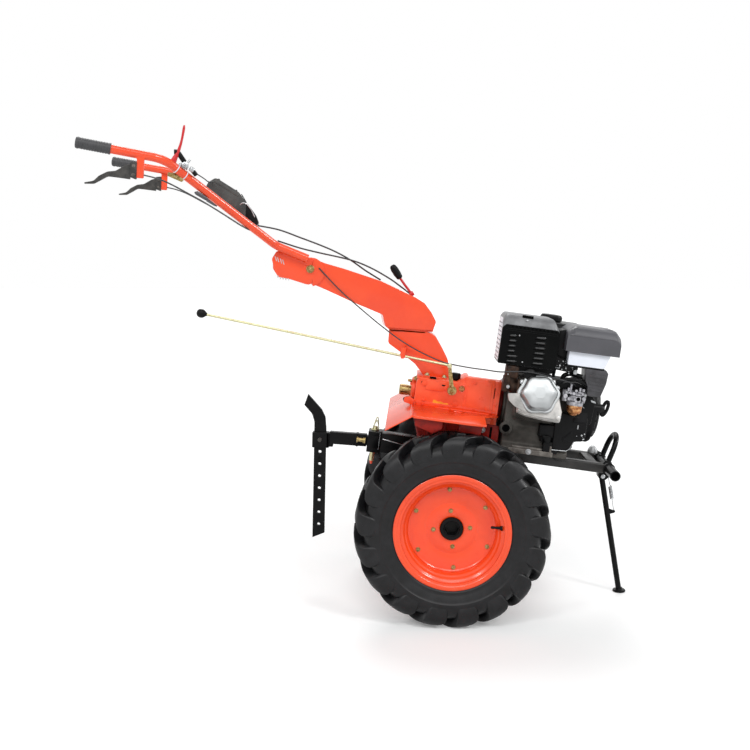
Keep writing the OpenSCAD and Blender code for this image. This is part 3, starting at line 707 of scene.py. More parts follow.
    def repeat(self, count: int, step: Matrix) -> "Shape":
        """Repeats all of the mesh, each copy moved once more by the step.

        Args:
            count: How many there are in the end.
            step: The move from one to the next.
        Returns:
            This shape.
        """
        first = list(self.mesh.verts) + list(self.mesh.edges) + list(self.mesh.faces)
        move = Matrix()
        for _ in range(count - 1):
            move = step @ move
            made = bmesh.ops.duplicate(self.mesh, geom=first)["geom"]
            bmesh.ops.transform(self.mesh, matrix=move,
                                verts=[v for v in made if isinstance(v, bmesh.types.BMVert)])
        return self

    def done(self, name: str, finish: Finish, *stands_for: str, body: str | None = "chassis",
             smooth_to: float = 35.0) -> bpy.types.Object:
        """Makes the piece.

        Args:
            name: Its name.
            finish: Its finish.
            stands_for: The CAD nodes it replaces.
            body: The CAD body it rides on, or None to leave it free, as its caller bakes its transform.
            smooth_to: Edges flatter than this angle are shaded smooth.
        Returns:
            The piece's object.
        """
        bmesh.ops.recalc_face_normals(self.mesh, faces=list(self.mesh.faces))
        bmesh.ops.transform(self.mesh, matrix=self.place, verts=list(self.mesh.verts))
        if self.place.determinant() < 0:
            bmesh.ops.reverse_faces(self.mesh, faces=list(self.mesh.faces))
        data = bpy.data.meshes.new(name)
        self.mesh.to_mesh(data)
        self.mesh.free()
        data.materials.append(finish.material())
        data.shade_smooth()
        data.set_sharp_from_angle(angle=math.radians(smooth_to))
        piece = bpy.data.objects.new(name, data)
        bpy.context.scene.collection.objects.link(piece)
        if body:
            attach(piece, body)
        if stands_for:
            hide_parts(*stands_for)
        LOG.info("%s: %d faces, %s", name, len(data.polygons), finish.name)
        return piece


def dress(finish: Finish, *nodes: str) -> None:
    """Gives CAD nodes that stay a finish of their own.

    Args:
        finish: The finish.
        nodes: The nodes' names.
    """
    for name in nodes:
        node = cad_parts[name]
        node.data.materials.clear()
        node.data.materials.append(finish.material())
        LOG.info("%s: kept, %s", name, finish.name)


# ---------------------------------------------------------------- wheels
@dataclass
class Wheel:
    """A traction wheel: lugged tyre, stepped rim with its disc, bolts, hub and valve.

    Args:
        side: Which one.
        radius: The tyre's, over its lugs.
        track: From the machine's middle to the wheel's, in metres.
        lugs: How many in each of the two rows.
        rim_bolts: Bolts on the disc's outer circle.
        hub_bolts: Bolts on the circle round the hub.
        bolt_start: Where the first bolt of a circle sits, in degrees from the top.
    """

    side: Side
    radius: float = 288.0
    track: float = 0.308
    lugs: int = 17
    rim_bolts: int = 6
    hub_bolts: int = 4
    bolt_start: float = -3.0

    def __post_init__(self) -> None:
        """Finds the wheel's body and its place on the axle."""
        self.body = f"wheel_{self.side.value}"
        x, _, z = AXLE
        self.place = self.side.of(shift(x, self.track if self.side is Side.LEFT else -self.track, z)) @ MM

    def build(self) -> None:
        """Builds the wheel's pieces."""
        self.tyre()
        self.rim()
        self.fixings()
        self.hub()

    def tyre(self) -> None:
        """The carcass with two staggered rows of lugs over its shoulders."""
        shape = Shape(self.place)
        self.lug(shape)
        shape.repeat(self.lugs, turn(360 / self.lugs, "Y"))
        shape.repeat(2, turn(180 / self.lugs, "Y") @ OTHER_SIDE)
        wall = [(152.4, 36), (152.4, 50), (156, 51.4), (173.6, 51.8), (177, 54.6), (180, 55.2), (183, 55.2),
                (188, 57.6), (205, 63.2), (210, 64.6), (212, 66.6), (216, 66.8), (228, 66.4), (242, 62.8),
                (253, 54), (259, 42), (262, 22)]
        inside = [(166, 40), (205, 53), (240, 50), (251, 36)]
        flip = [(r, -y) for r, y in reversed(wall)]
        shape.turned(wall + [(263, 0)] + flip + [(r, -y) for r, y in inside] + inside[::-1], steps=136)
        shape.done(f"tyre_with_lugs_{self.side.value}", TYRE, f"tyre_{self.side.value}", body=self.body,
                   smooth_to=30)

    def lug(self, shape: Shape) -> None:
        """Adds one lug at the top of the tyre, from a broad block on its shoulder to past the tread's middle.

        Args:
            shape: The mesh it goes into.
        """
        under = [(222, 65), (234, 64), (247, 59), (256, 46), (260, 28), (261, 8), (261, -12)]
        over = [(225, 67.4), (245, 69.6), (264, 66.4), (277, 58.6), (285, 46), (288, 26), (288, -12)]
        lead = [(-4,), (-3,), (0,), (10,), (32,), (58,), (80,)]
        half = [(27,), (34,), (36,), (30,), (20,), (15,), (14,)]
        made = bmesh.ops.create_grid(shape.mesh, x_segments=13, y_segments=2, size=0.5,
                                     matrix=shift(0.5, 0, 0))
        base = made["verts"]
        grown = bmesh.ops.extrude_face_region(shape.mesh,
                                              geom=once(f for v in base for f in v.link_faces))["geom"]
        top = [v for v in grown if isinstance(v, bmesh.types.BMVert)]
        bmesh.ops.translate(shape.mesh, verts=top, vec=(0, 0, 1))
        for vert in base + top:
            u, across, up = vert.co
            low, high = on_curve(under, u), on_curve(over, u)
            radius = low[0] + (high[0] - low[0]) * up
            width = 2 * across * on_curve(half, u)[0] * (1.08 - 0.14 * up)
            angle = (on_curve(lead, u)[0] + width) / self.radius
            dish = 1.2 * up * (1 - (2 * across) ** 2) if u < 0.5 else 0
            vert.co = (radius * math.sin(angle), low[1] + (high[1] - low[1]) * up - dish,
                       radius * math.cos(angle))
        shape.settle(base + top, bevel=3.2, segments=3, sharp=38)
        for u, across in ((0.14, 0.3), (0.16, -0.25), (0.3, 0.02), (0.62, 0.12), (0.84, -0.1)):
            at = on_curve(over, u)
            angle = (on_curve(lead, u)[0] + 2 * across * on_curve(half, u)[0]) / self.radius
            foot = Vector((at[0] * math.sin(angle), at[1], at[0] * math.cos(angle)))
            out = Vector((math.sin(angle), 6.0 if u < 0.4 else 0.1, math.cos(angle))).normalized()
            shape.rod(foot - 2.5 * out, foot + 0.2 * out, 1.5, 1.0, sides=6)

    def rim(self) -> None:
        """The pressed rim with its rounded steps, and the disc inside it."""
        shape = Shape(self.place)
        face = [(172, 52.6), (172, 54.2), (170, 55.6), (164, 55.2), (159.4, 53.6), (156, 50.6), (152, 45.8),
                (149, 42.8), (146, 41.2), (143, 39.4), (140.6, 36.4), (138.4, 32.8), (136, 30.8),
                (133.4, 28.8), (131, 25.4), (128.6, 20)]
        back = [(132, 25), (152, 33), (152, 51.4), (155, 52.4)]
        shape.turned(face + [(r, -y) for r, y in reversed(back + face)] + back, steps=96)
        disc = [(34.6, -5), (34.6, -0.6), (35.4, 0), (72, 0), (75, -1.6), (78, -1.6), (81, 0), (108, 0),
                (121, 0), (126, 1.6), (129.6, 5), (131, 5), (131, -5)]
        shape.turned(disc, steps=96)
        shape.done(f"rim_and_disc_{self.side.value}", ENAMEL, f"rim_{self.side.value}", body=self.body,
                   smooth_to=40)

    def fixings(self) -> None:
        """The plated bolts of the disc and the hub, and the rubber valve."""
        shape = Shape(self.place)
        for count, radius in ((self.rim_bolts, 117.5), (self.hub_bolts, 54.0)):
            for i in range(count):
                z, x = polar(radius, self.bolt_start + 360 * i / count)
                shape.bolt((x, 0, z), FAR, 11.5, washer=13.5)
        shape.done(f"wheel_bolts_{self.side.value}", AGED_ZINC, body=self.body)
        valve = Shape(self.place)
        valve.turned([(0, 0), (8, 0), (7, 5), (4.4, 9), (4, 19), (3.4, 21), (3.4, 24), (4.2, 24.4), (4.2, 32),
                      (3, 34), (0, 34)], (146, 39, 13), (-1, -0.14, 0.03), steps=20)
        valve.done(f"tyre_valve_{self.side.value}", NYLON, body=self.body)

    def hub(self) -> None:
        """The hub's tube with its hexagon bore, its flange behind the disc and a clamping bolt."""
        shape = Shape(self.place)
        half_bore, inner = 19.3, 23.12
        bore = ring(half_bore / math.cos(math.pi / 6), 6)
        outer = ring(inner, 48)
        for radius, low, high in ((34, -70, 6), (70, -13, -5.2)):
            shape.turned([(22.4, low), (radius - 1.4, low), (radius, low + 1.4), (radius, high - 1.4),
                          (radius - 1.4, high), (24.4, high), (22.4, high - 2)], steps=64)
        for k in range(6):
            a, b = bore[k], bore[(k + 1) % 6]
            rim = [outer[(8 * k + i) % 48] for i in range(9)]
            shape.plate([a, b] + rim[::-1], -69, 3.2, bevel=0)
        shape.rod((0, -40, 33), (0, -40, 44), 7, sides=6, bevel=0.8)
        shape.done(f"hub_{self.side.value}_bored", BLACK_STEEL, f"hub_{self.side.value}", body=self.body,
                   smooth_to=30)


# ---------------------------------------------------------------- gearbox
@dataclass
class Gearbox:
    """The transmission: painted case, flange to the engine, lower drive, power take-off and shift linkage.

    Args:
        half: Half the case's width.
        top: The case's top.
    """

    half: float = 98.0
    top: float = 408.0

    def build(self) -> None:
        """Builds the gearbox's pieces."""
        self.case()
        self.flange()
        self.lower_drive()
        self.small_parts()
        self.take_off()
        self.linkage()

    def case(self) -> None:
        """The main case: rounded at the rear, stepped up to the clutch at the front."""
        shape = Shape()
        outline = rounded([(-157, 290), (86, 290), (86, 407), (-157, 407)], [6, 2, 2, 22], 5)
        shape.plate(outline, -self.half, self.half, bevel=5, segments=3)
        front = rounded([(-99.2, 300), (99.2, 300), (99.2, 398), (70, 408), (-30, 424), (-80, 430),
                         (-99.2, 428)], [2, 2, 8, 12, 20, 10, 6])
        shape.plate(front, -5, 86, Axis.X, bevel=1.4, segments=3)
        shape.plate(rounded([(-40, 400), (4, 400), (4, 427), (-5, 428), (-33, 408)], 3, 3), -96, 20, bevel=3)
        for side in (-1, 1):
            y = sorted((side * self.half, side * (self.half + 3)))
            shape.plate(rounded([(-128, 372), (-70, 372), (-60, 386), (-60, 402), (-128, 402)], 5), *y,
                        bevel=1.6)
            shape.plate(rounded([(2, 330), (78, 330), (78, 420), (24, 420), (2, 400)] if side < 0
                                else [(2, 330), (78, 330), (78, 392), (2, 392)], 9), *y, bevel=1.6)
            for x, z in ((-132, 392), (-62, 386), (70, 340), (-30, 338)) + (((63, 418),) if side < 0 else ()):
                shape.rod((x, y[0] - 1, z), (x, side * (self.half + 4.2), z), 8.5, bevel=1.2)
        shape.box((-157, 11), (-self.half + 4, self.half - 4), (403, self.top), 2.5)
        shape.done("gearbox_case_painted", CASTING, "gearbox_case", "gearbox_cover")

    def flange(self) -> None:
        """The clutch housing: a flange with a bolted seam towards the engine."""
        shape = Shape()
        outline = rounded([(-98, 290), (98, 290), (98, 400), (70, 409), (-30, 425), (-80, 430), (-98, 425)],
                          [2, 2, 8, 12, 20, 8, 5], 3)
        shape.plate(outline, 89, 105, Axis.X, bevel=2.4, segments=3)
        shape.plate([(p[0] * 0.992, p[1] - 1) for p in outline], 84, 90, Axis.X, bevel=0)
        for side in (-1, 1):
            for z in (308, 352, 390):
                shape.rod((95, side * 97, z), (95, side * 101, z), 5, sides=6, bevel=0.8)
        shape.done("clutch_flange_painted", CASTING, "clutch_housing")
        # The neck's dark red is painted shade, for the shadow between gearbox and engine.
        neck = Shape()
        neck.rod((104, 0, CRANK), (127.5, 0, CRANK), 62, sides=64, bevel=3)
        neck.plate([(p[0] * 0.985, 2 + p[1] * 0.99) for p in outline], 104, 106, Axis.X, bevel=0.4,
                   segments=1)
        neck.done("clutch_housing_neck", SHADED_RED)
        dark = Shape()
        for y in both(94, 98.6):
            dark.box((86.4, 88.6), y, (372, 405), 0.3, 1)
        dark.done("clutch_flange_gap", SHADE)

    def lower_drive(self) -> None:
        """The final drive below the mudguards, down to the wheel shafts."""
        shape = Shape()
        outline = ([(-157, 290), (-130, 215), (-130, 130), (-118, 100)]
                   + [polar(80, 180 + 7.5 * k) for k in range(25)] + [(88, 160), (100, 290)])
        shape.plate(outline, -78, 78, bevel=6, segments=3, sharp=40)
        for side in (-1, 1):
            shape.turned([(0, 0), (58, 0), (60, 3), (60, 14), (54, 19), (46, 20), (44, 24), (30, 24),
                          (28, 22), (25.1, 22), (25.1, 10), (0, 10)], (0, side * 74, 0), (0, side, 0))
            for k in range(6):
                x, z = polar(66, 60 * k + 20)
                shape.bolt((x, side * 78, z), (0, side, 0), 12)
            for x in (-100, -50, 0, 50):
                shape.box((x - 3, x + 3), sorted((side * 77, side * 83)), (90, 284), 2)
        # The lower drive's dark red is painted shade, for the shadow under the mudguards.
        shape.done("final_drive_cast", SHADED_RED, "final_drive_case")
        # The half shafts' near-black is painted shade for the hub bores.
        dress(SHADED_SHAFT_STEEL, "half_shaft_right", "half_shaft_left")

    def small_parts(self) -> None:
        """Plugs, painted bolts, dark slits, the filler cap and a blank label."""
        dark = Shape()
        for x0, x1, z in ((-118, -98, 411.5), (-142, -130, 394), (-78, -66, 392)):
            dark.box((x0, x1), (-101.8, -90), (z - 2.2, z + 2.2), 0.6, 1)
        dark.done("gearbox_slits", SHADE)
        cap = Shape()
        cap.turned([(0, 0), (11, 0), (12, 7), (13.6, 9), (13.6, 24), (12, 26), (0, 26)], (-36, -60, 406), UP,
                   steps=28)
        for k in range(10):
            cap.pen = shift(-36, -60, 423) @ turn(36 * k, "Z")
            cap.box((12.6, 14.4), (-1.6, 1.6), (-6, 7), 0.5, 1)
        cap.done("gear_oil_cap", NYLON)
        disc = Shape()
        disc.turned([(0, -3), (9.4, -3), (9.4, 0.4), (8.4, 1.2), (4.4, 1.4), (4, 0.4), (0, 0.4)],
                    (-15, -98, 389), NEAR, steps=32)
        disc.done("gearbox_core_plug", BRASS)
        plug = Shape()
        plug.turned([(10, -1), (13, -1), (12.6, 1.8), (11.4, 2.4), (10.2, 1.8)], (-15, -98, 389), NEAR,
                    steps=32)
        for x, z in ((63, 422), (-128, 340), (-40, 330), (24, 412)):
            plug.bolt((x, -98, z), NEAR, 12.5, tall=4)
        plug.done("gearbox_plugs_painted", CASTING)
        label = Shape()
        label.pen = shift(-75, -98, 332) @ turn(8, "Y")
        waves = [(-24 + 4 * k, 7.5 + 1.4 * math.sin(1.3 * k)) for k in range(13)]
        label.plate(waves + [(x, -z) for x, z in reversed(waves)], -0.8, 0.5, bevel=0.2, segments=1)
        label.done("blank_label", LABEL)
        bright = Shape()
        bright.bolt((112, -60, 428), UP, 14, washer=20)
        bright.bolt((121, -120, 413), NEAR, 15, washer=20)
        bright.done("clutch_bolts", STEEL)

    def take_off(self) -> None:
        """The power take-off shaft with its keyway, collar and lock nuts."""
        shape = Shape()
        shape.turned([(0, 0), (14, 0), (16.6, 2.4), (17, 7), (17, 27), (16, 28), (16, 31), (17, 32), (17, 50),
                      (0, 50)], (-207, 0, CRANK), AHEAD)
        shape.bolt((-157, -42, 396), BACK, 16, washer=20)
        shape.bolt((-157, 44, 330), BACK, 16, washer=20)
        shape.rod((-170, -20, 384), (-184, -20, 384), 4.4, bevel=0.8)
        shape.done("power_take_off", AGED_ZINC, "pto_shaft")
        key = Shape()
        for angle in (18, 138, 258):
            key.pen = shift(0, 0, CRANK) @ turn(angle, "X")
            key.box((-203, -182), (-17.2, -12), (-2, 2), 0.6, 1)
        key.done("take_off_keyways", SHADE)
        cover = Shape()
        cover.turned([(17, 0), (44, 0), (46, 2), (46, 9), (42, 13), (22, 13), (20, 11), (17, 11)],
                     (-157, 0, CRANK), BACK, steps=40)
        for k in range(4):
            y, z = polar(35, 45 + 90 * k)
            cover.bolt((-169, y, CRANK + z), BACK, 11)
        cover.done("take_off_bearing_cover", CASTING)

    def linkage(self) -> None:
        """The plated shift arm on its boss, and the long rod with its hook and round knob."""
        shape = Shape()
        shape.turned([(0, 0), (7, 0), (7, 24), (14, 25), (14.6, 26.4), (14.6, 33), (13.6, 34.6), (8.6, 35),
                      (8, 37.4), (4.6, 38.2), (4, 36.6), (0, 36.6)], (-46, -97, 383), NEAR, steps=32)
        arm = rounded([(-54.5, 384), (-39.5, 384), (-59, 460), (-61.5, 466), (-66.5, 466), (-69, 460)],
                      [6, 6, 3, 3, 3, 3], 3)
        shape.plate(arm, -134, -129.4, bevel=0.8)
        shape.done("shift_arm_and_boss", AGED_ZINC, "shift_arm")
        shape = Shape()
        front, rear = Vector((-64, -123.7, 458)), Vector((-832, -123.7, 515))
        way = (rear - front).normalized()
        hook = rounded([(-64, -137, 458), (-64, -123.7, 458.4), front + 60 * way], 7, closed=False)
        shape.pipe(hook + [rear], 4, 14)
        shape.rod((-64, -128, 458), (-64, -139, 458), 7.5, bevel=2)
        shape.done("shift_rod_hooked", ZINC, "shift_rod")
        knob = Shape()
        knob.turned([(0, -4), (5, -4), (6.4, 0), (10.6, 4), (13.4, 10), (14, 16), (12.6, 22), (8.6, 26.6),
                     (4, 28.6), (0, 29)], rear + Vector((3, 0, 0)), way, steps=28)
        knob.done("shift_knob", NYLON)


# ---------------------------------------------------------------- sheet guards
@dataclass
class Guards:
    """The sheet-steel mudguards over the wheels and the flap behind them.

    Args:
        outer: From the machine's middle to the guards' outer edge.
        level: The guards' top.
        sheet: Thickness of the sheet.
        slope: The flap's angle below level, in degrees.
    """

    outer: float = 335.0
    level: float = 322.0
    sheet: float = 3.0
    slope: float = 35.0

    def build(self) -> None:
        """Builds the guards."""
        for side in Side:
            self.guard(side)
        self.flap()

    def guard(self, side: Side) -> None:
        """One mudguard with a turned-down lip, a pressed bead and its bolts.

        Args:
            side: Which one.
        """
        shape = Shape(side.of(BODY))
        plan = rounded([(-157, 98.5), (-157, self.outer), (8, self.outer), (56, 323), (62, 180), (106, 130),
                        (106, 98.5)], [0, 5, 12, 7, 14, 10, 0])
        shape.plate(plan, self.level - self.sheet, self.level, Axis.Z, bevel=0.8)
        edge = [p for p in plan if p[1] > 200]
        shape.pipe([(p[0], p[1] - 2.2, self.level - 4) for p in edge], 2.1, 8, flat=1.6)
        shape.pipe([(-90, 112, self.level), (-20, 112, self.level), (40, 112, self.level),
                    (78, 112, self.level)], [2, 3, 3, 2], 10)
        shape.box((-150, 98), (98.5, 101.5), (self.level - 2, self.level + 12), 1.2)
        for x in (-130, -70, 30, 84):
            shape.bolt((x, 101, self.level + 6), FAR, 11, tall=3)
        shape.pipe(rounded([(-46, 118, 323), (-30, 150, 323), (-8, 150, 323), (0, 130, 323)],
                           8, closed=False), 1.6, 8)
        shape.done(f"mudguard_sheet_{side.value}", ENAMEL, f"mudguard_{side.value}")
        # A dark red sheet under the guard and two below its outer edge: painted shade, standing for the
        # shadow beneath the guard.
        shaded_skirt = Shape(side.of(BODY))
        shaded_skirt.plate([(p[0] * 0.97, p[1] - 4) for p in plan], self.level - 4.2, self.level - 2.8, Axis.Z,
                    bevel=0)
        shaded_skirt.plate(rounded([(-150, 292), (-96, 276), (-70, 292), (-70, 319), (-150, 319)], 3, 3), 318, 321,
                    bevel=0.6)
        shaded_skirt.plate(rounded([(-20, 290), (44, 286), (50, 319), (-20, 319)], 3, 3), 300, 303, bevel=0.6)
        shaded_skirt.done(f"mudguard_shaded_underside_{side.value}", SHADED_RED)

    def flap(self) -> None:
        """The sloping flap behind the gearbox, with folded edges, ribs, a lug and a hook."""
        hinge = -157 - self.sheet * math.sin(math.radians(self.slope))
        shape = Shape(BODY @ shift(hinge, 0, self.level) @ turn(-self.slope, "Y"))
        shape.plate(rounded([(-92, -335), (0, -335), (0, 335), (-92, 335)], [9, 0, 0, 9]), -3, 0, Axis.Z,
                    bevel=0.8)
        shape.pipe([(-91, -327, -2.2), (-91, 327, -2.2)], 2.2, 8)
        shape.pipe([(-4, -330, 0.4), (-4, 330, 0.4)], 2.2, 8)
        shape.done("rear_flap_sheet", ENAMEL, "rear_flap")
        lug = Shape()
        lug.plate(rounded([(-190, 326), (-160, 320), (-156, 338), (-172, 345), (-188, 342)], 6), -110, -104)
        lug.done("flap_lug", ENAMEL)
        hook = Shape()
        hook.pipe(rounded([(-158, -60, 334), (-180, -60, 336), (-190, -60, 330), (-186, -60, 322)],
                          6, closed=False), 3, 10)
        hook.done("flap_hook", BLACK_STEEL)


# ---------------------------------------------------------------- hitch
@dataclass
class Hitch:
    """The rear yoke with its pin, the drawbar, and the depth stake in its clamp.

    Args:
        holes: Pin holes in the stake, after the one in the clamp.
        pitch: Between two holes.
        half: Half the stake's width.
    """

    holes: int = 7
    pitch: float = 40.0
    half: float = 19.5

    def build(self) -> None:
        """Builds the hitch's pieces."""
        self.yoke()
        self.pin()
        self.bar()
        self.stake()

    def yoke(self) -> None:
        """The black yoke: two boxes with open jaws, side bolts and rods."""
        shape = Shape()
        for z0, z1 in ((138, 153.6), (190.4, 206)):
            shape.box((-286, -248), (-32, 32), (z0, z1), 2.2, 3)
        for y in both(14, 32):
            shape.box((-286, -248), y, (150, 194), 1.6)
        shape.box((-249, -130), (-28, 28), (140, 204), 3, 3)
        shape.box((-252, -242), (-30, 30), (136, 208), 2)
        shape.done("hitch_yoke_black", BLACK_STEEL, "hitch_yoke")
        bright = Shape()
        bright.box((-249, -247.4), (-32.6, -31), (150, 204), 0.4, 1)
        bright.pipe(smooth([(-238, -30, 186), (-214, -33, 183), (-186, -33, 179), (-166, -30, 176)]), 1.4, 8)
        bright.done("hitch_rods_and_bolt", STEEL)
        screw = Shape()
        screw.turned([(0, 0), (9, 0), (9.6, 1), (9.6, 3.6), (6.4, 4.4), (6.4, 20), (9, 21), (9, 28), (0, 28)],
                     (-321, -17, 171), AHEAD, steps=28)
        screw.done("hitch_set_screw", AGED_ZINC)

    def pin(self) -> None:
        """The hitch pin with its head, spring clip and tapered tip."""
        shape = Shape()
        shape.turned([(7, -66), (7.9, -64), (7.9, 34), (13, 34.4), (13.6, 36), (13, 39), (7.6, 39.4),
                      (7.4, 46), (5.6, 48), (0, 48)], (-266, 0, 172), UP, steps=28)
        for y, top in ((4, 249), (-4, 240)):
            clip = [(-274, y, 211), (-272, y, 222), (-267, y, top - 6), (-264, y, top), (-261, y, top - 6),
                    (-257, y, 222), (-255, y, 213)]
            shape.pipe(smooth(clip), 1.5, 8)
        shape.pipe([(-275, 0, 212), (-254, 0, 214)], 1.5, 8)
        shape.done("hitch_pin_and_clip", ZINC, "hitch_pin")
        tip = Shape()
        tip.turned([(0, -77), (2.4, -77), (4.6, -71), (7.4, -64), (0, -64)], (-266, 0, 172), UP, steps=28)
        tip.done("hitch_pin_tip", ENAMEL)

    def bar(self) -> None:
        """The square drawbar and the stake's clamp."""
        shape = Shape(DRAWBAR)
        shape.box((-144, 13), (-12.6, 12.6), (-15.6, 15.6), 2)
        shape.box((-144, -23), (-13, 13), (-20, 20), 2.6, 3)
        shape.box((-58, -50), (-15, 15), (-21.4, 21.4), 1.6)
        shape.done("drawbar_square", BLACK_STEEL, "drawbar")
        clamp = Shape(STAKE)
        for y in both(6.6, 16):
            clamp.box((-25, 29), y, (-25, 25), 2.4, 3)
        for x in ((-25, -20.2), (20.2, 29)):
            clamp.box(x, (-16, 16), (-25, 25), 2, 3)
        clamp.box((26, 42), (-12, 12), (-22, 22), 2)
        clamp.bolt((0, 16, 0), FAR, 18, washer=22)
        clamp.done("stake_clamp", BLACK_STEEL)
        head = Shape(STAKE)
        head.turned([(0, 0), (7, 0), (7, 2.6), (6, 3.2), (5.8, 6), (4.6, 7.6), (2.4, 7.8), (2, 6.6),
                     (0, 6.6)], (0, -16, 1), NEAR, steps=24)
        head.done("stake_clamp_bolt", LEVER)

    def stake(self) -> None:
        """The flat depth stake with its row of pin holes and its bent top."""
        shape = Shape(STAKE)
        low = -self.pitch * (self.holes + 0.5)
        for i in range(self.holes + 1):
            self.link(shape, -self.pitch * i)
        foot = [(-self.half, -325), (self.half, -308), (self.half, low), (-self.half, low)]
        shape.plate(foot, -6, 6, bevel=0)
        top = rounded([(self.half, 20), (self.half, 36), (16, 74), (4, 98), (-41, 147), (-53, 112), (-27, 83),
                       (-self.half, 58), (-self.half, 20)], [0, 16, 30, 16, 1, 1, 26, 20, 0], 5)
        shape.plate(top, -6, 6, bevel=0)
        bmesh.ops.remove_doubles(shape.mesh, verts=list(shape.mesh.verts), dist=0.02)
        inner = [f for f in shape.mesh.faces if abs(f.normal.z) > 0.99
                 and low - 1 < f.calc_center_median().z < 21]
        bmesh.ops.delete(shape.mesh, geom=inner, context="FACES")
        shape.done("depth_stake_plate", BLACK_STEEL, "depth_stake", body="depth_stake", smooth_to=30)

    def link(self, shape: Shape, middle: float) -> None:
        """Adds one pitch of the stake with its hole.

        Args:
            shape: The stake's mesh.
            middle: The hole's height.
        """
        hole, w, h = ring(5, 24), self.half, self.pitch / 2
        corners = [(w, h), (-w, h), (-w, -h), (w, -h)]
        middles = [(w, 0), (0, h), (-w, 0), (0, -h)]
        for q in range(4):
            arc = [hole[(6 * q + i) % 24] for i in range(7)]
            outline = [middles[q], corners[q], middles[(q + 1) % 4]] + arc[::-1]
            shape.plate([(p[0], p[1] + middle) for p in outline], -6, 6, bevel=0)


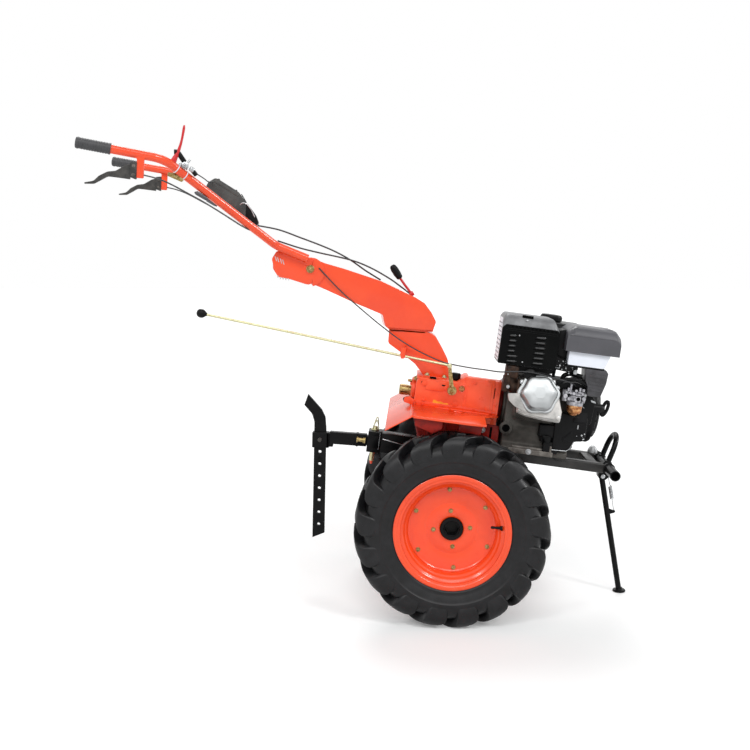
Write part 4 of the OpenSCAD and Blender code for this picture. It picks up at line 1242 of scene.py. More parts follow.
# ---------------------------------------------------------------- front frame
@dataclass
class FrontFrame:
    """The engine's rails, the cross tube with its loop, and the folding stand.

    Args:
        rail: Width of a rail.
        reach: From the machine's middle to a rail's.
        ears: From the machine's middle to each ear of the cross tube.
    """

    rail: float = 30.0
    reach: float = 85.0
    ears: float = 19.0

    def build(self) -> None:
        """Builds the front frame's pieces."""
        self.rails()
        self.tube()
        self.loop()
        self.stand()
        self.spring()

    def rails(self) -> None:
        """Two square tubes with rounded corners, a tie plate and the bracket on the gearbox."""
        shape = Shape()
        for side in (-1, 1):
            y = (side * self.reach - self.rail / 2, side * self.reach + self.rail / 2)
            shape.box((106, 458), y, (185, 215), 4.5, 4)
            for x in (150, 300):
                shape.box((x, x + 36), (y[0] - 1.4, y[1] + 1.4), (206, 217), 1.2)
                shape.bolt((x + 18, side * self.reach, 217), UP, 15, washer=22)
        shape.box((410, 440), (-78, 78), (204, 214), 2)
        # The rails' lighter black is painted sheen.
        shape.done("engine_rails", RAIL_SHEEN_BLACK, "frame_rails")
        # The bracket's dark red is painted shade, for the shadow under the mudguard.
        bracket = Shape()
        outline = rounded([(100.3, 185), (106, 185), (118, 196), (118, 270), (106, 290), (100.3, 290)], 3, 3)
        for y in both(92, 98):
            bracket.plate(rounded([(66, 262), (98, 186), (118, 186), (118, 286), (104, 290), (66, 290)], 5),
                          *y, bevel=1.6)
        bracket.plate(outline, -97, 97, bevel=1.4)
        bracket.done("rail_bracket_painted", SHADED_RED, "rail_bracket")
        Shape().box((88, 98), (-98.7, -90), (232, 284), 3).done("bracket_slot", SHADE)
        bright = Shape()
        bright.bolt((66, -97, 270), NEAR, 14, washer=20)
        bright.bolt((104, -98, 206), NEAR, 14, washer=20)
        bright.done("bracket_bolts", STEEL)

    def tube(self) -> None:
        """The open-ended cross tube with the two ears that carry the stand."""
        shape = Shape(CROSS)
        shape.turned([(13, -198), (15.4, -198), (16, -197.4), (16, 197.4), (15.4, 198), (13, 198)], steps=40)
        ear = rounded([(-14, 4), (14, 4), (24, -18), (24, -34), (12, -50), (-12, -50)],
                      [0, 0, 6, 8, 12, 12], 5)
        for y in (-self.ears, self.ears):
            shape.plate(ear, y - 3, y + 3, bevel=0.8)
        shape.rod((19, -20, -27), (19, 20, -27), 3, sides=16)
        for y in (-68, -101, 68, 101):
            shape.turned([(15.8, 0), (19.5, 1), (18, 3.4), (15.8, 5)], (0, y, 0), steps=32)
        shape.done("cross_tube_and_ears", BLACK_STEEL, "cross_tube")
        Shape(CROSS).rod((0, -184, 0), (0, 184, 0), 12.9, sides=32).done("cross_tube_depth", SHADE)
        pin = Shape(CROSS)
        for side in (-1, 1):
            pin.bolt((0, side * 22.4, -38), (0, side, 0), 16)
        pin.done("stand_pivot_heads", STEEL)
        plug = Shape()
        plug.turned([(0, -4), (15, -4), (16.4, 0), (16, 8), (12.6, 17), (6, 23.4), (0, 25)], (452, 90, 214),
                    UP, steps=28)
        plug.done("engine_stop_buffer", GALVANISED_AND_HIGHLIGHT)

    def loop(self) -> None:
        """The bent lifting loop with its weld beads."""
        shape = Shape(CROSS @ turn(14, "Y"))
        half, wire = 50.0, 8.5
        top = 109 - wire
        arch = [(0, half * math.cos(math.pi * k / 20), top - half + half * math.sin(math.pi * k / 20))
                for k in range(21)]
        shape.pipe([(0, half, 13)] + arch + [(0, -half, 13)], wire, 16)
        for side in (-1, 1):
            shape.turned([(8, 0), (12.6, 0), (12, 3.4), (8.4, 6)], (0, side * half, 14), UP, steps=24)
        shape.done("lifting_loop", BLACK_STEEL, "bumper_loop")

    def stand(self) -> None:
        """The tubular stand: pivot eye, tapered upper plate, spring lug and round foot."""
        shape = Shape(STAND)
        shape.pipe([(0, 0, 2), (0, 0, -60), (0, 0, -200), (0, 0, -388)], 9, 20)
        shape.turned([(5.2, -15), (12.4, -15), (13, -14), (13, 14), (12.4, 15), (5.2, 15)], steps=32)
        shape.rod((0, -22, 0), (0, 22, 0), 4.9, sides=20)
        shape.plate(rounded([(4, -112), (18, -120), (26, -123), (26, -129), (18, -131), (4, -132)], 3), -3, 3)
        shape.pen = STAND.inverted() @ MM
        shape.turned([(0, 0.4), (19, 0.4), (20.5, 1.8), (20.5, 5.6), (19, 7.4), (12, 8.4), (10.6, 10),
                      (10, 14), (0, 14)], way=UP, steps=36)
        shape.done("stand_leg_tube", BLACK_STEEL, "stand_leg", body="front_stand")

    def spring(self) -> None:
        """The return spring with its long hooks, from the ear's pin to the stand's lug."""
        shape = Shape(STAND)
        shape.coil((21.6, 0, -42), (21.8, 0, -84), 5.4, 1.3, 13)
        shape.pipe(rounded([(19, 0, 5), (25, 0, 3), (21, 0, -8), (21.6, 0, -36), (25, 0, -42)],
                           4, closed=False), 1.3, 8)
        shape.pipe(rounded([(24, 0, -84), (21.8, 0, -90), (21.9, 0, -116), (24.6, 0, -126), (20, 0, -127)],
                           4, closed=False), 1.3, 8)
        made = shape.done("stand_return_spring", STEEL, "stand_spring", body=None)
        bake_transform(made)


# ---------------------------------------------------------------- engine
@dataclass
class Engine:
    """The single-cylinder engine with its guard, air cleaner, carburettor, tank and starter.

    Args:
        fan: Height of the fan's middle.
        slats: Louvres in each column of the muffler guard.
        drop: From one louvre down to the next.
    """

    fan: float = 360.0
    slats: int = 6
    drop: float = 15.4

    def build(self) -> None:
        """Builds the engine's pieces."""
        self.crankcase()
        self.cylinder()
        self.cover()
        self.muffler()
        self.exhaust()
        self.air_cleaner()
        self.carburettor()
        self.fan_side()
        self.tank()
        self.odds()

    def crankcase(self) -> None:
        """The cast crankcase with its mounting feet, ribs, side cover and oil plug."""
        shape = Shape()
        slope = math.radians(LEAN)

        def side_of(reach: float, up: float) -> tuple[float, float]:
            """Returns the Y and Z of a place seen from the cylinder."""
            return (-reach * math.cos(slope) + up * math.sin(slope),
                    CRANK + reach * math.sin(slope) + up * math.cos(slope))

        outline = [(-115, 215), (115, 215), (115, 231), (106, 245), (120, 320), (112, 410),
                   (60, side_of(90, 80)[1]), side_of(90, 80), side_of(90, -80), (-100, 245), (-115, 231)]
        shape.plate(outline, 128, 335, Axis.X, bevel=5, segments=3)
        shape.rod((120, 0, CRANK), (128.6, 0, CRANK), 84, sides=64, bevel=3)
        for k in range(8):
            y, z = polar(74, 45 * k + 12)
            shape.rod((120, y, CRANK + z), (133, y, CRANK + z), 9, sides=20, bevel=1.2)
        for x in (150, 176, 202, 228, 254):
            shape.plate([(-113, 232), (-96, 250), (-84, 332), (-80, 250), (-80, 232)], x - 2.4, x + 2.4,
                        Axis.X)
        shape.box((142, 290), (-121, -96), (215, 229), 3)
        shape.box((142, 324), (96, 121), (215, 229), 3)
        shape.turned([(12, 0), (20, 0), (20, 10), (17, 12), (12, 12)], (136, -103, 288), NEAR, steps=32)
        for x in (160, 190, 220, 250, 280, 310):
            shape.plate([(113, 232), (118.5, 250), (122, 330), (114, 400), (108, 330)], x - 2, x + 2, Axis.X)
        shape.plate(rounded([(148, 250), (322, 250), (322, 296), (296, 330), (174, 330), (148, 296)], 12, 3),
                    108, 120, bevel=3, segments=3)
        for x, z in ((160, 262), (310, 262), (160, 300), (310, 300), (190, 320), (280, 320)):
            shape.rod((x, 112, z), (x, 123, z), 8, sides=20, bevel=1.5)
        shape.done("crankcase_cast", DARK_ALLOY, "crankcase")
        filler = Shape()
        filler.turned([(0, 0), (15, 0), (16, 1.6), (16, 9), (14, 12), (6, 13), (6, 18), (0, 18.6)],
                      (176, 110, 276), steps=32)
        filler.done("oil_filler_cap", NYLON)
        Shape().rod((136, -100, 288), (136, -112, 288), 12.2, sides=28).done("drain_opening", SHADE)
        bar = Shape()
        bar.box((150, 290), (-125, -98), (217, 233), 2.4, 3)
        bar.box((277, 284), (-125.6, -118), (230, 252), 2)
        bar.box((160, 262), (-118, -104), (232, 239), 2)
        bar.done("engine_base_bar", FOOT)
        bolts = Shape()
        bolts.bolt((214, -125, 226), NEAR, 15, washer=18)
        for x in (170, 276):
            bolts.bolt((x, -110, 229), UP, 15, washer=20)
        bolts.done("engine_base_bolts", STEEL)

    def cylinder(self) -> None:
        """The finned cylinder and head, leaning out to the near side."""
        shape = Shape(SLANT)
        shape.rod((3, 0, 84), (3, 0, 180), 50, sides=48)
        for k in range(10):
            z = 92 + 8.6 * k
            shape.plate(rounded([(-60, -64), (66, -64), (66, 64), (-60, 64)], 14), z, z + 2.6, Axis.Z,
                        bevel=0.7, segments=1)
        shape.done("cylinder_fins", DARK_ALLOY, "cylinder")
        head = Shape(SLANT)
        outline = [(-56, -57), (-34, -64), (20, -70), (73, -72), (76, -40), (64, 2), (40, 40), (8, 50),
                   (-30, 42), (-50, 10), (-58, -30)]
        head.plate(rounded(outline, 6, 3), 178, 198, Axis.Z, bevel=2, segments=3)
        head.plate(rounded([(x * 0.96, y * 0.96 + 1) for x, y in outline], 6, 3), 197, 204, Axis.Z, bevel=1.5)
        for k in range(3):
            z = 181 + 5.2 * k
            head.plate(rounded([(x * 1.02, y * 1.02 + 0.8) for x, y in outline], 6, 3), z, z + 1.8, Axis.Z,
                       bevel=0.5, segments=1)
        for x, y in ((-50, -50), (66, -62)):
            head.rod((x, y, 190), (x, y, 207), 6.5, sides=20, bevel=1.5)
        head.plate([Vector((p[0] * 1.03, p[1] * 1.03)) for p in self.hexagon(63)], 202, 210, Axis.Z,
                   bevel=1.2)
        head.done("cylinder_head", ALLOY)
        bolts = Shape(SLANT)
        for x, y in ((68, -58), (56, 30), (44, 46), (-52, 34)):
            bolts.bolt((x, y, 200), UP, 11, washer=14)
        bolts.done("head_bolts", STEEL)
        shield = Shape()
        outline = [(114, 409), (151, 413.5), (156, 396), (185, 362), (177, 359), (140, 373), (121, 388)]
        shield.plate(rounded(outline, [5, 4, 14, 3, 3, 12, 10], 3), -216, -210, bevel=1.8, segments=3)
        shield.box((128, 140), (-214, -196), (384, 398), 2)
        shield.done("head_shield", ALLOY)

    @staticmethod
    def hexagon(radius: float) -> list[Vector]:
        """The outline of the rocker cover, a hexagon with round corners, turned a little.

        Args:
            radius: From its middle to a corner.
        Returns:
            The outline's points.
        """
        points = []
        for i in range(96):
            a = math.radians(3.75 * i)
            r = radius - 3 + 3 * math.cos(6 * a - 0.75)
            points.append(Vector((r * math.cos(a), 2 + 0.99 * r * math.sin(a))))
        return points

    def cover(self) -> None:
        """The polished rocker cover: flange, groove, dome and dimple."""
        shape = Shape(SLANT)
        flange = [(210, 1.0), (214.5, 1.0), (216, 0.992), (216.8, 0.975), (217, 0.95), (216.8, 0.925)]
        groove = [(216.2, 0.905), (216.4, 0.89), (218.4, 0.88)]
        dome = [(224, 0.868), (229, 0.85), (233.6, 0.82), (237.4, 0.77), (240.4, 0.7), (242.6, 0.6),
                (244, 0.46)]
        dimple = [(244.8, 0.28), (244.9, 0.12), (244.2, 0.07), (243.6, 0.03)]
        shape.stack(self.hexagon(64), flange + groove + dome + dimple)
        shape.done("rocker_cover_polished", CHROME, "rocker_cover", smooth_to=60)

    def muffler(self) -> None:
        """The louvred guard round the muffler: shell greyed by painted reflection, black face, louvres, slots
        and a pierced end.
        """
        # The shell's grey is a painted reflection of the light from above, over the face's black paint.
        shell = Shape()
        outline = rounded([(74, 493), (244, 493), (247.6, 500), (247.6, 608), (226, 643.6), (82, 643.6),
                           (74, 628)], [4, 4, 6, 22, 18, 14, 14], 5)
        shell.hood(outline, [(-51, 640), (-54, 643.6), (-158, 643.6), (-164, 642.6), (-170, 640),
                             (-176, 635.4), (-181, 629.4), (-185, 622), (-187.4, 614), (-188.4, 608)], 540)
        shell.done("muffler_guard_shell", SHELL_REFLECTION_GREY, "muffler")
        shape = Shape()
        face = rounded([(73.7, 493), (244, 493), (247.9, 500), (247.9, 600), (240, 612), (84, 612),
                        (73.7, 602)], [4, 4, 6, 12, 8, 8, 10])
        shape.plate(face, -189.4, -150, bevel=1.8, segments=3)
        for z in (600, 594.6):
            shape.pipe([(84, -188, z), (90, -189.6, z), (238, -189.6, z), (243, -188, z)], 1.2, 8)
        shape.done("muffler_guard", GUARD_BLACK)
        # The louvres' lighter black is painted highlight.
        shape = Shape()
        for left, right, first in ((98, 121, 581), (177, 209, 584)):
            for row in range(self.slats):
                reach = right + (9 if left < 100 and row > 3 else 0)
                z = first - self.drop * row
                shape.pipe([(left, -188.2, z - 1), (left + 3, -189.3, z - 1), (reach - 5, -189.3, z),
                            (reach, -188, z + 1)], [0.8, 3, 4.2, 1.4])
        shape.done("muffler_louvres", LOUVRE_HIGHLIGHT_BLACK)
        holes = Shape()
        for k in range(12):
            x = 100 + 11.9 * k
            holes.box((x, x + 6.4), (-190, -186), (603.6, 609.6), 1.4)
        for left, right, first in ((96, 118, 575), (174, 205, 578)):
            for row in range(self.slats):
                z = first - self.drop * row
                holes.box((left, right), (-189.9, -187), (z - 1.6, z + 1.2), 0.4, 1)
        holes.plate(rounded([(128, -176), (164, -178), (160, -168), (132, -167)], 3), 636, 643.6, Axis.Z,
                    bevel=0.6)
        holes.plate(rounded([(124, -159), (166, -160), (164, -156), (126, -155)], 1.6), 640, 643.8, Axis.Z,
                    bevel=0.3)
        holes.done("muffler_guard_piercings", SHADE)
        end = Shape()
        end.plate(rounded([(-176, 500), (-62, 500), (-62, 628), (-160, 628), (-176, 606)], 12), 73.4, 77,
                  Axis.X)
        end.done("muffler_guard_end", PALE_BAND)
        pores = Shape()
        for row in range(9):
            for k in range(9):
                y, z = -168 + 12 * k + 6 * (row % 2), 508 + 13 * row
                if y < -68:
                    pores.rod((73.2, y, z), (75, y, z), 2.2, sides=8)
        pores.done("muffler_end_piercings", SHADE)
        bolts = Shape()
        for x, z in ((127, 583), (147, 505)):
            bolts.bolt((x, -189, z), NEAR, 5, tall=0.8)
        bolts.bolt((144, -182, 629), (0, -0.8, 0.6), 8, tall=2.5)
        bolts.done("muffler_guard_screws", STEEL)

    def exhaust(self) -> None:
        """The browned exhaust elbow and its flange."""
        shape = Shape()
        shape.box((104, 142), (-186, -131), (452, 491), 6, 3)
        shape.pipe(rounded([(160, -160, 420), (124, -160, 424), (122, -160, 470)], 22, 5, closed=False),
                   19, 20)
        shape.plate(rounded([(-188, 404), (-132, 404), (-132, 452), (-188, 452)], 12), 143, 150, Axis.X,
                    bevel=1.4)
        shape.box((101, 120), (-182, -136), (408, 456), 4)
        shape.rod((111, -180, 448), (111, -189, 448), 9, bevel=1.4)
        shape.done("exhaust_elbow_flanged", HEATED, "exhaust_elbow")
        nuts = Shape()
        nuts.bolt((116, -184, 425), NEAR, 9, washer=11)
        nuts.bolt((110, -188, 463), NEAR, 5, tall=1.5)
        nuts.done("exhaust_nuts", STEEL)

    def air_cleaner(self) -> None:
        """The air cleaner: grey lid with a bevelled shoulder over a pale band, and the duct below."""
        lid = Shape()
        outline = rounded([(268.4, 558), (429.6, 558), (429.6, 613), (413, 632), (290, 633.6), (268.4, 616)],
                          [2, 3, 12, 12, 14, 14], 5)
        lid.hood(outline, [(-41, 630), (-44, 633.6), (-166, 633.6), (-175, 632), (-184, 627.6), (-191, 621),
                           (-196, 613.6), (-198.6, 608.6), (-199.6, 604)], 560)
        lid.plate(rounded([(384, 628), (407, 630), (407, 633.6), (384, 633.6)], 1.5, 2), -166, -60, bevel=1.2)
        lid.box((268, 430), (-200, -40), (557, 561), 1.4)
        lid.pipe([(276, -198, 605), (284, -199.2, 606), (408, -199.2, 606), (420, -198, 603)], 1.2, 8)
        lid.done("air_cleaner_lid", GREY_ABS, "air_cleaner")
        band = Shape()
        band.plate(rounded([(282, 516), (392, 516), (406, 557), (282, 557)], [3, 6, 3, 3]), -189, -51,
                   bevel=5, segments=4)
        band.done("air_cleaner_band", PALE_BAND)
        base = Shape()
        base.box((280, 394), (-186, -54), (510, 518), 3, 3)
        base.plate(rounded([(250, 612), (272, 618), (284, 560), (284, 512), (258, 512), (252, 540)], 8), -150,
                   -60, bevel=6, segments=3)
        base.pipe(rounded([(336, -160, 482), (300, -152, 486), (282, -150, 480), (276, -140, 452)],
                          20, 5, closed=False), 7, 16)
        base.done("air_cleaner_back", NYLON)
        duct = Shape()
        outline = rounded([(338, 513), (400, 513), (408, 503), (406, 472), (399, 446), (394, 429), (354, 429),
                           (352, 456), (342, 476)], [6, 6, 8, 12, 12, 4, 4, 12, 8])
        duct.plate(outline, -184.5, -105.5, bevel=8, segments=5)
        for low, high in ((488, 497), (466, 473), (447, 453)):
            duct.plate(rounded([(352, low), (404 - 0.2 * (497 - low), low - 3),
                                (404 - 0.2 * (497 - high), high - 3), (352, high)], 3, 3), -186.6, -182,
                       bevel=2, segments=3)
        duct.done("intake_duct_moulded", DUCT, "intake_duct")

    def carburettor(self) -> None:
        """The carburettor: cast body with lugs, posts and levers, over its gold float bowl."""
        shape = Shape()
        shape.box((296, 348), (-180, -136), (406, 436), 4, 3)
        shape.box((288, 350), (-186, -150), (427, 433), 2, 3)
        for x, z, big in ((290, 421, 6.5), (314, 431, 5), (346, 419, 6), (302, 414, 5), (320, 440, 4.5)):
            shape.rod((x, -178, z), (x, -190.4, z), big, sides=20, bevel=1.2)
        for x0, x1, z0, z1 in ((306, 322, 420, 426), (326, 342, 433, 438), (294, 300, 436, 447),
                               (338, 346, 440, 448)):
            shape.box((x0, x1), (-189, -178), (z0, z1), 1.6)
        shape.rod((284, -160, 420), (354, -160, 420), 18, sides=32, bevel=2)
        shape.turned([(0, -8), (24, -8), (25, -6), (25, 2), (23, 4), (0, 4)], (325, -165, 402), UP, steps=32)
        for x, top in ((304, 460), (332, 450)):
            shape.rod((x, -180, 430), (x + 1, -180, top), 3.6, sides=16, bevel=0.8)
        shape.box((286, 294), (-187, -176), (410, 438), 2)
        shape.box((345, 351), (-187, -176), (408, 432), 2)
        shape.turned([(6, 0), (12, 0), (13, 1), (13, 5), (11.6, 6), (6, 6)], (330, -181, 416), NEAR, steps=28)
        shape.done("carburettor_body", PALE_ALLOY, "carburettor")
        dark = Shape()
        for box in (((311, 327), (-186, -184), (438, 452)), ((299, 302), (-189.4, -182), (408, 430)),
                    ((338, 341), (-189.4, -182), (406, 424)), ((286, 350), (-189, -186), (423.6, 425.4))):
            dark.box(*box, 0.4, 1)
        dark.rod((330, -181, 416), (330, -186, 416), 6, sides=20)
        dark.done("carburettor_gaps", SHADE)
        bowl = Shape()
        bowl.turned([(0, -1), (22, -1), (23.4, 1), (23, 5), (22.4, 18), (19, 24.4), (12, 27), (0, 27.6)],
                    (326, -165, 395), DOWN)
        bowl.turned([(0, 0), (12, 0), (12, 3), (8, 6.4), (0, 7)], (324, -167, 369), DOWN, steps=24)
        bowl.done("float_bowl", BRASS)
        bits = Shape()
        bits.bolt((291, -189, 434), NEAR, 9)
        bits.bolt((348, -189, 431), NEAR, 9)
        bits.bolt((291, -189, 409), NEAR, 7)
        for x, z, big in ((262, 508, 6), (281, 502, 5), (300, 507, 6), (247, 518, 5), (270, 522, 4),
                          (292, 488, 5)):
            bits.bolt((x, -172, z), (0, -1, 0.2), big)
        bits.coil((240, -176, 503), (262, -176, 499), 2.4, 0.6, 8)
        for k in range(22):
            x, z = 240 + (k * 37) % 70, 498 + (k * 23) % 32 - 0.14 * ((k * 37) % 70)
            bits.box((x, x + 1.6 + (k * 5) % 4), (-172.6, -169), (z, z + 1.2 + (k * 7) % 3), 0.5, 1)
        bits.plate(rounded([(304, 489), (313, 488), (317, 497), (310, 503), (304, 499)], 2.4), -182, -179.5,
                   bevel=0.5)
        bits.done("governor_linkage", STEEL)
        # The lower plate behind the carburettor and the plate under the muffler are black fills, painted
        # shade for the dark space behind them; the rest is the governor's lever, plate and post.
        back = Shape()
        low = rounded([(252, 436), (348, 436), (352, 452), (330, 460), (300, 458), (268, 450), (252, 444)], 8)
        back.plate(low, -150, -120, bevel=4, segments=3)
        back.pipe(smooth([(258, -176, 456), (280, -182, 467), (304, -184, 473), (326, -182, 471),
                          (346, -176, 463)]), 5, flat=1.2)
        back.plate(rounded([(142, 468), (196, 466), (246, 478), (250, 494), (142, 494)], 3, 3), -150, -80,
                   bevel=3)
        high = rounded([(236, 498), (252, 494), (300, 490), (318, 500), (318, 514), (250, 536),
                        (236, 530)], 5)
        back.plate(high, -170, -120, bevel=3, segments=3)
        back.rod((296, -160, 482), (296, -160, 500), 6, sides=20, bevel=1)
        back.done("governor_plate_and_painted_shade", NYLON)

    def fan_side(self) -> None:
        """The fan housing, the recoil starter with its rope handle, and the covers beside them."""
        shape = Shape()
        shape.turned([(0, 0), (104, 0), (104, 30), (102, 38), (96, 43), (88, 45), (0, 45)],
                     (335, 0, self.fan), AHEAD, steps=72)
        shape.plate([(-108.0, 406), (-129.6, 339.5), (-84.9, 283), (24, 440), (28, 436)], 335, 378, Axis.X,
                    bevel=5, segments=3)
        shape.box((300, 350), (-104, 40), (246, 300), 8, 3)
        shape.done("fan_housing_pressed", NYLON, "fan_housing")
        start = Shape()
        start.turned([(0, 0), (94, 0), (98, 4), (98, 24), (94, 30), (86, 32), (82, 35), (80, 40), (72, 44),
                      (0, 44)], (380, 0, self.fan), AHEAD, steps=72)
        start.turned([(0, 0), (16, 0), (16, 34), (14, 41), (10, 46), (7, 50), (0, 50)], (384, -80, 383),
                     AHEAD, steps=28)
        start.pen = shift(435, -80, 386) @ turn(14, "Y")
        loop = [(7.4 * math.sin(a), 0, 23 * math.cos(a)) for a in [2 * math.pi * k / 28 for k in range(29)]]
        start.pipe(loop, 5.4, 14)
        start.box((-3, 3), (-4.6, 4.6), (-22, -4), 2)
        start.done("recoil_starter_moulded", NYLON, "recoil_starter")
        dark = Shape()
        for k in range(18):
            dark.pen = shift(411, 0, self.fan) @ turn(20 * k, "X")
            dark.box((-1, 1.6), (-4, 4), (83, 92), 1, 1)
        dark.done("recoil_slots", SHADE)
        block = Shape()
        outline = [(282, 246), (292, 242), (330, 244), (340, 252), (350, 276), (381, 290), (381, 352),
                   (300, 362), (280, 344)]
        block.plate(rounded(outline, 7), -126, -100, bevel=5, segments=3)
        block.plate(rounded([(352, 330), (392, 334), (396, 404), (388, 420), (352, 424)], 8), -120, -88,
                    bevel=5, segments=3)
        block.box((236, 284), (-124, -96), (276, 318), 5, 3)
        block.rod((262, -112, 262), (262, -112, 284), 20, sides=28, bevel=4)
        block.plate(rounded([(256, 228), (300, 228), (312, 250), (312, 264), (256, 264)], 5), -124, -90,
                    bevel=3, segments=3)
        block.plate(rounded([(310, 280), (318, 272), (372, 280), (372, 300), (336, 306)], 4), -128.6, -120,
                    bevel=2)
        block.done("engine_side_covers", NYLON)
        glint = Shape()
        glint.pipe(rounded([(284, -126, 242), (328, -126, 244), (338, -126, 252), (348, -126, 276),
                            (378, -126, 289)], 4, 3, closed=False), 1.3, 8)
        glint.box((351, 355), (-128, -125), (316, 330), 0.8, 1)
        glint.box((349, 372), (-128, -125), (287, 290), 0.8, 1)
        for x, z, big in ((353, 295, 6), (362, 296, 4), (368, 299, 7), (376, 304, 5), (371, 293, 4)):
            glint.bolt((x, -126, z), NEAR, big)
        glint.bolt((356, -121, 404), NEAR, 6)
        glint.pipe(smooth([(356, -121, 402), (354, -122, 392), (364, -121, 383)]), 0.9, 8)
        glint.plate(rounded([(378, 412), (394, 408), (398, 402), (384, 404)], 2), -121.5, -118, bevel=0.8)
        glint.done("fan_side_clips", STEEL)

    def tank(self) -> None:
        """The fuel tank behind the guard and the air cleaner, with its ribbed cap."""
        shape = Shape()
        outline = rounded([(120, 512), (388, 512), (388, 590), (354, 626), (214, 627), (140, 578),
                           (120, 556)], [20, 20, 24, 24, 30, 24, 16], 5)
        shape.plate(outline, -26, 196, bevel=18, segments=5)
        shape.box((118, 390), (-30, 200), (540, 545), 2)
        shape.done("fuel_tank_pressed", BLACK_STEEL, "fuel_tank")
        cap = Shape()
        cap.turned([(0, -4), (30, -4), (31, 0), (34, 2), (34, 15), (31, 19.4), (24, 20.6), (0, 21)],
                   (248, 60, 628), UP)
        for k in range(24):
            cap.pen = shift(248, 60, 636.5) @ turn(15 * k, "Z")
            cap.box((32.6, 35), (-1.6, 1.6), (-6, 6), 0.6, 1)
        cap.done("fuel_cap_ribbed", NYLON, "fuel_cap")

    def odds(self) -> None:
        """The carburettor's mounting rod and the lead behind the head."""
        plate = Shape()
        plate.rod((252, -150, 496), (252, -130, 446), 5, sides=20, bevel=1)
        plate.turned([(0, 0), (17, 0), (18, 1.6), (18, 5), (14, 8), (0, 9)], (176, -186, 470), (0, -1, 0.2),
                     steps=32)
        plate.pipe(smooth([(150, -176, 458), (172, -190, 472), (200, -196, 480), (236, -190, 476)]), 3.6)
        plate.done("spark_lead", NYLON)


# ---------------------------------------------------------------- column and arm
@dataclass
class Steering:
    """The column on the gearbox, the swivelling arm, its lock lever and the tilt bolt.

    Args:
        half: Half the width of the column and the arm.
    """

    half: float = 42.0

    def build(self) -> None:
        """Builds the steering's pieces."""
        self.column()
        self.arm()
        self.lock()

    def column(self) -> None:
        """The folded sheet column with the shift rod's guide and its foot."""
        shape = Shape()
        rise = math.tan(math.radians(SWIVEL_LEAN))
        seam = [SWIVEL_AT[2] + (x - SWIVEL_AT[0]) * rise for x in (-264, -150)]
        outline = rounded([(-264, seam[0]), (-262, 500), (-258, 493), (-220, 472), (-169, 441), (-137, 408),
                           (-57, 408), (-60, 440), (-68, 468), (-88, 498), (-115, 534), (-128, 542),
                           (-150, seam[1])], [1, 4, 8, 20, 14, 2, 2, 10, 20, 20, 14, 10, 1])
        shape.plate(outline, -self.half, self.half, bevel=5, segments=4)
        shape.plate(rounded([(-264, seam[0] - 5), (-150, seam[1] - 5), (-150, seam[1] - 0.6),
                             (-264, seam[0] - 0.6)], 0.5, 1), -self.half, self.half, bevel=0.6)
        guide = rounded([(-216, 461), (-206, 461), (-204, 495), (-218, 495)], 3, 3)
        shape.plate(guide, -133.6, -128)
        shape.box((-219, -214), (-131, -42), (470, 476))
        shape.box((-206, -203), (-131, -42), (464, 496))
        shape.box((-140, -54), (-60, 60), (403, 411.5), 2)
        shape.done("column_sheet", ENAMEL, "column")
        bolts = Shape()
        for x in (-126, -72):
            for y in (-52, 52):
                bolts.bolt((x, y, 411.5), UP, 14, washer=19)
        bolts.done("column_foot_bolts", ZINC)

    def arm(self) -> None:
        """The folded sheet arm from the swivel to the tilt joint."""
        shape = Shape(SWIVEL)
        outline = rounded([(-88, 0.6), (-100, 8), (-106, 24), (-111, 44), (-210, 78), (-313, 117),
                           (-342, 126), (-352, 207), (-300, 191), (-239, 178), (-125, 149), (-14, 106),
                           (18, 89), (42, 61), (59, 33), (50, 0.6)],
                          [2, 8, 10, 12, 60, 40, 20, 20, 60, 60, 60, 30, 16, 14, 12, 2])
        shape.plate(outline, -self.half, self.half, bevel=9, segments=5)
        shape.plate(rounded([(-90, 0.6), (50, 0.6), (52, 6), (-94, 6)], 0.5, 1), -self.half, self.half,
                    bevel=0.6)
        shape.turned([(8.1, -41.6), (37, -41.6), (40.4, -39), (41, -36), (41, 36), (40.4, 39), (37, 41.6),
                      (8.1, 41.6)], (-347, 0, 165), steps=64)
        shape.done("arm_sheet", ENAMEL, "arm", body="steering_arm")
        bolt = Shape(TILT)
        bolt.rod((0, -50, 0), (0, 50, 0), 8, sides=28)
        for side in (-1, 1):
            bolt.bolt((0, side * 47.6, 0), (0, side, 0), 22, washer=25, tall=9)
        bolt.done("tilt_bolt_plated", AGED_ZINC, "tilt_bolt", body="steering_arm")

    def lock(self) -> None:
        """The swivel's lock lever: plated stem and a fluted black knob."""
        knob = Shape(SWIVEL)
        start, end = Vector((-60, 0, 160)), Vector((-91, 0, 201))
        knob.turned([(0, 0), (7, 0), (9.6, 3), (10.6, 8), (11, 14), (11, 38), (10, 44), (6.6, 48.6), (0, 50)],
                    start, end - start, steps=28)
        way = (end - start).normalized()
        side = Vector(FAR)
        up = way.cross(side)
        for k in range(8):
            angle = math.pi * k / 4
            out = 10.2 * (math.cos(angle) * side + math.sin(angle) * up)
            knob.pipe([start + out + s * way for s in (12, 16, 36, 40)], [0.4, 1.5, 1.5, 0.4], 6)
        knob.done("lock_knob", NYLON, "lock_lever", body="steering_arm")
        stem = Shape(SWIVEL)
        stem.pipe(smooth([(-18, 0, 108), (-24, 0, 118), (-46, 0, 143), (-64, 0, 165)]), 4, 14)
        stem.rod((-26, 0, 110), (-15, 0, 118), 8, bevel=1)
        stem.done("lock_stem", RED, body="steering_arm")


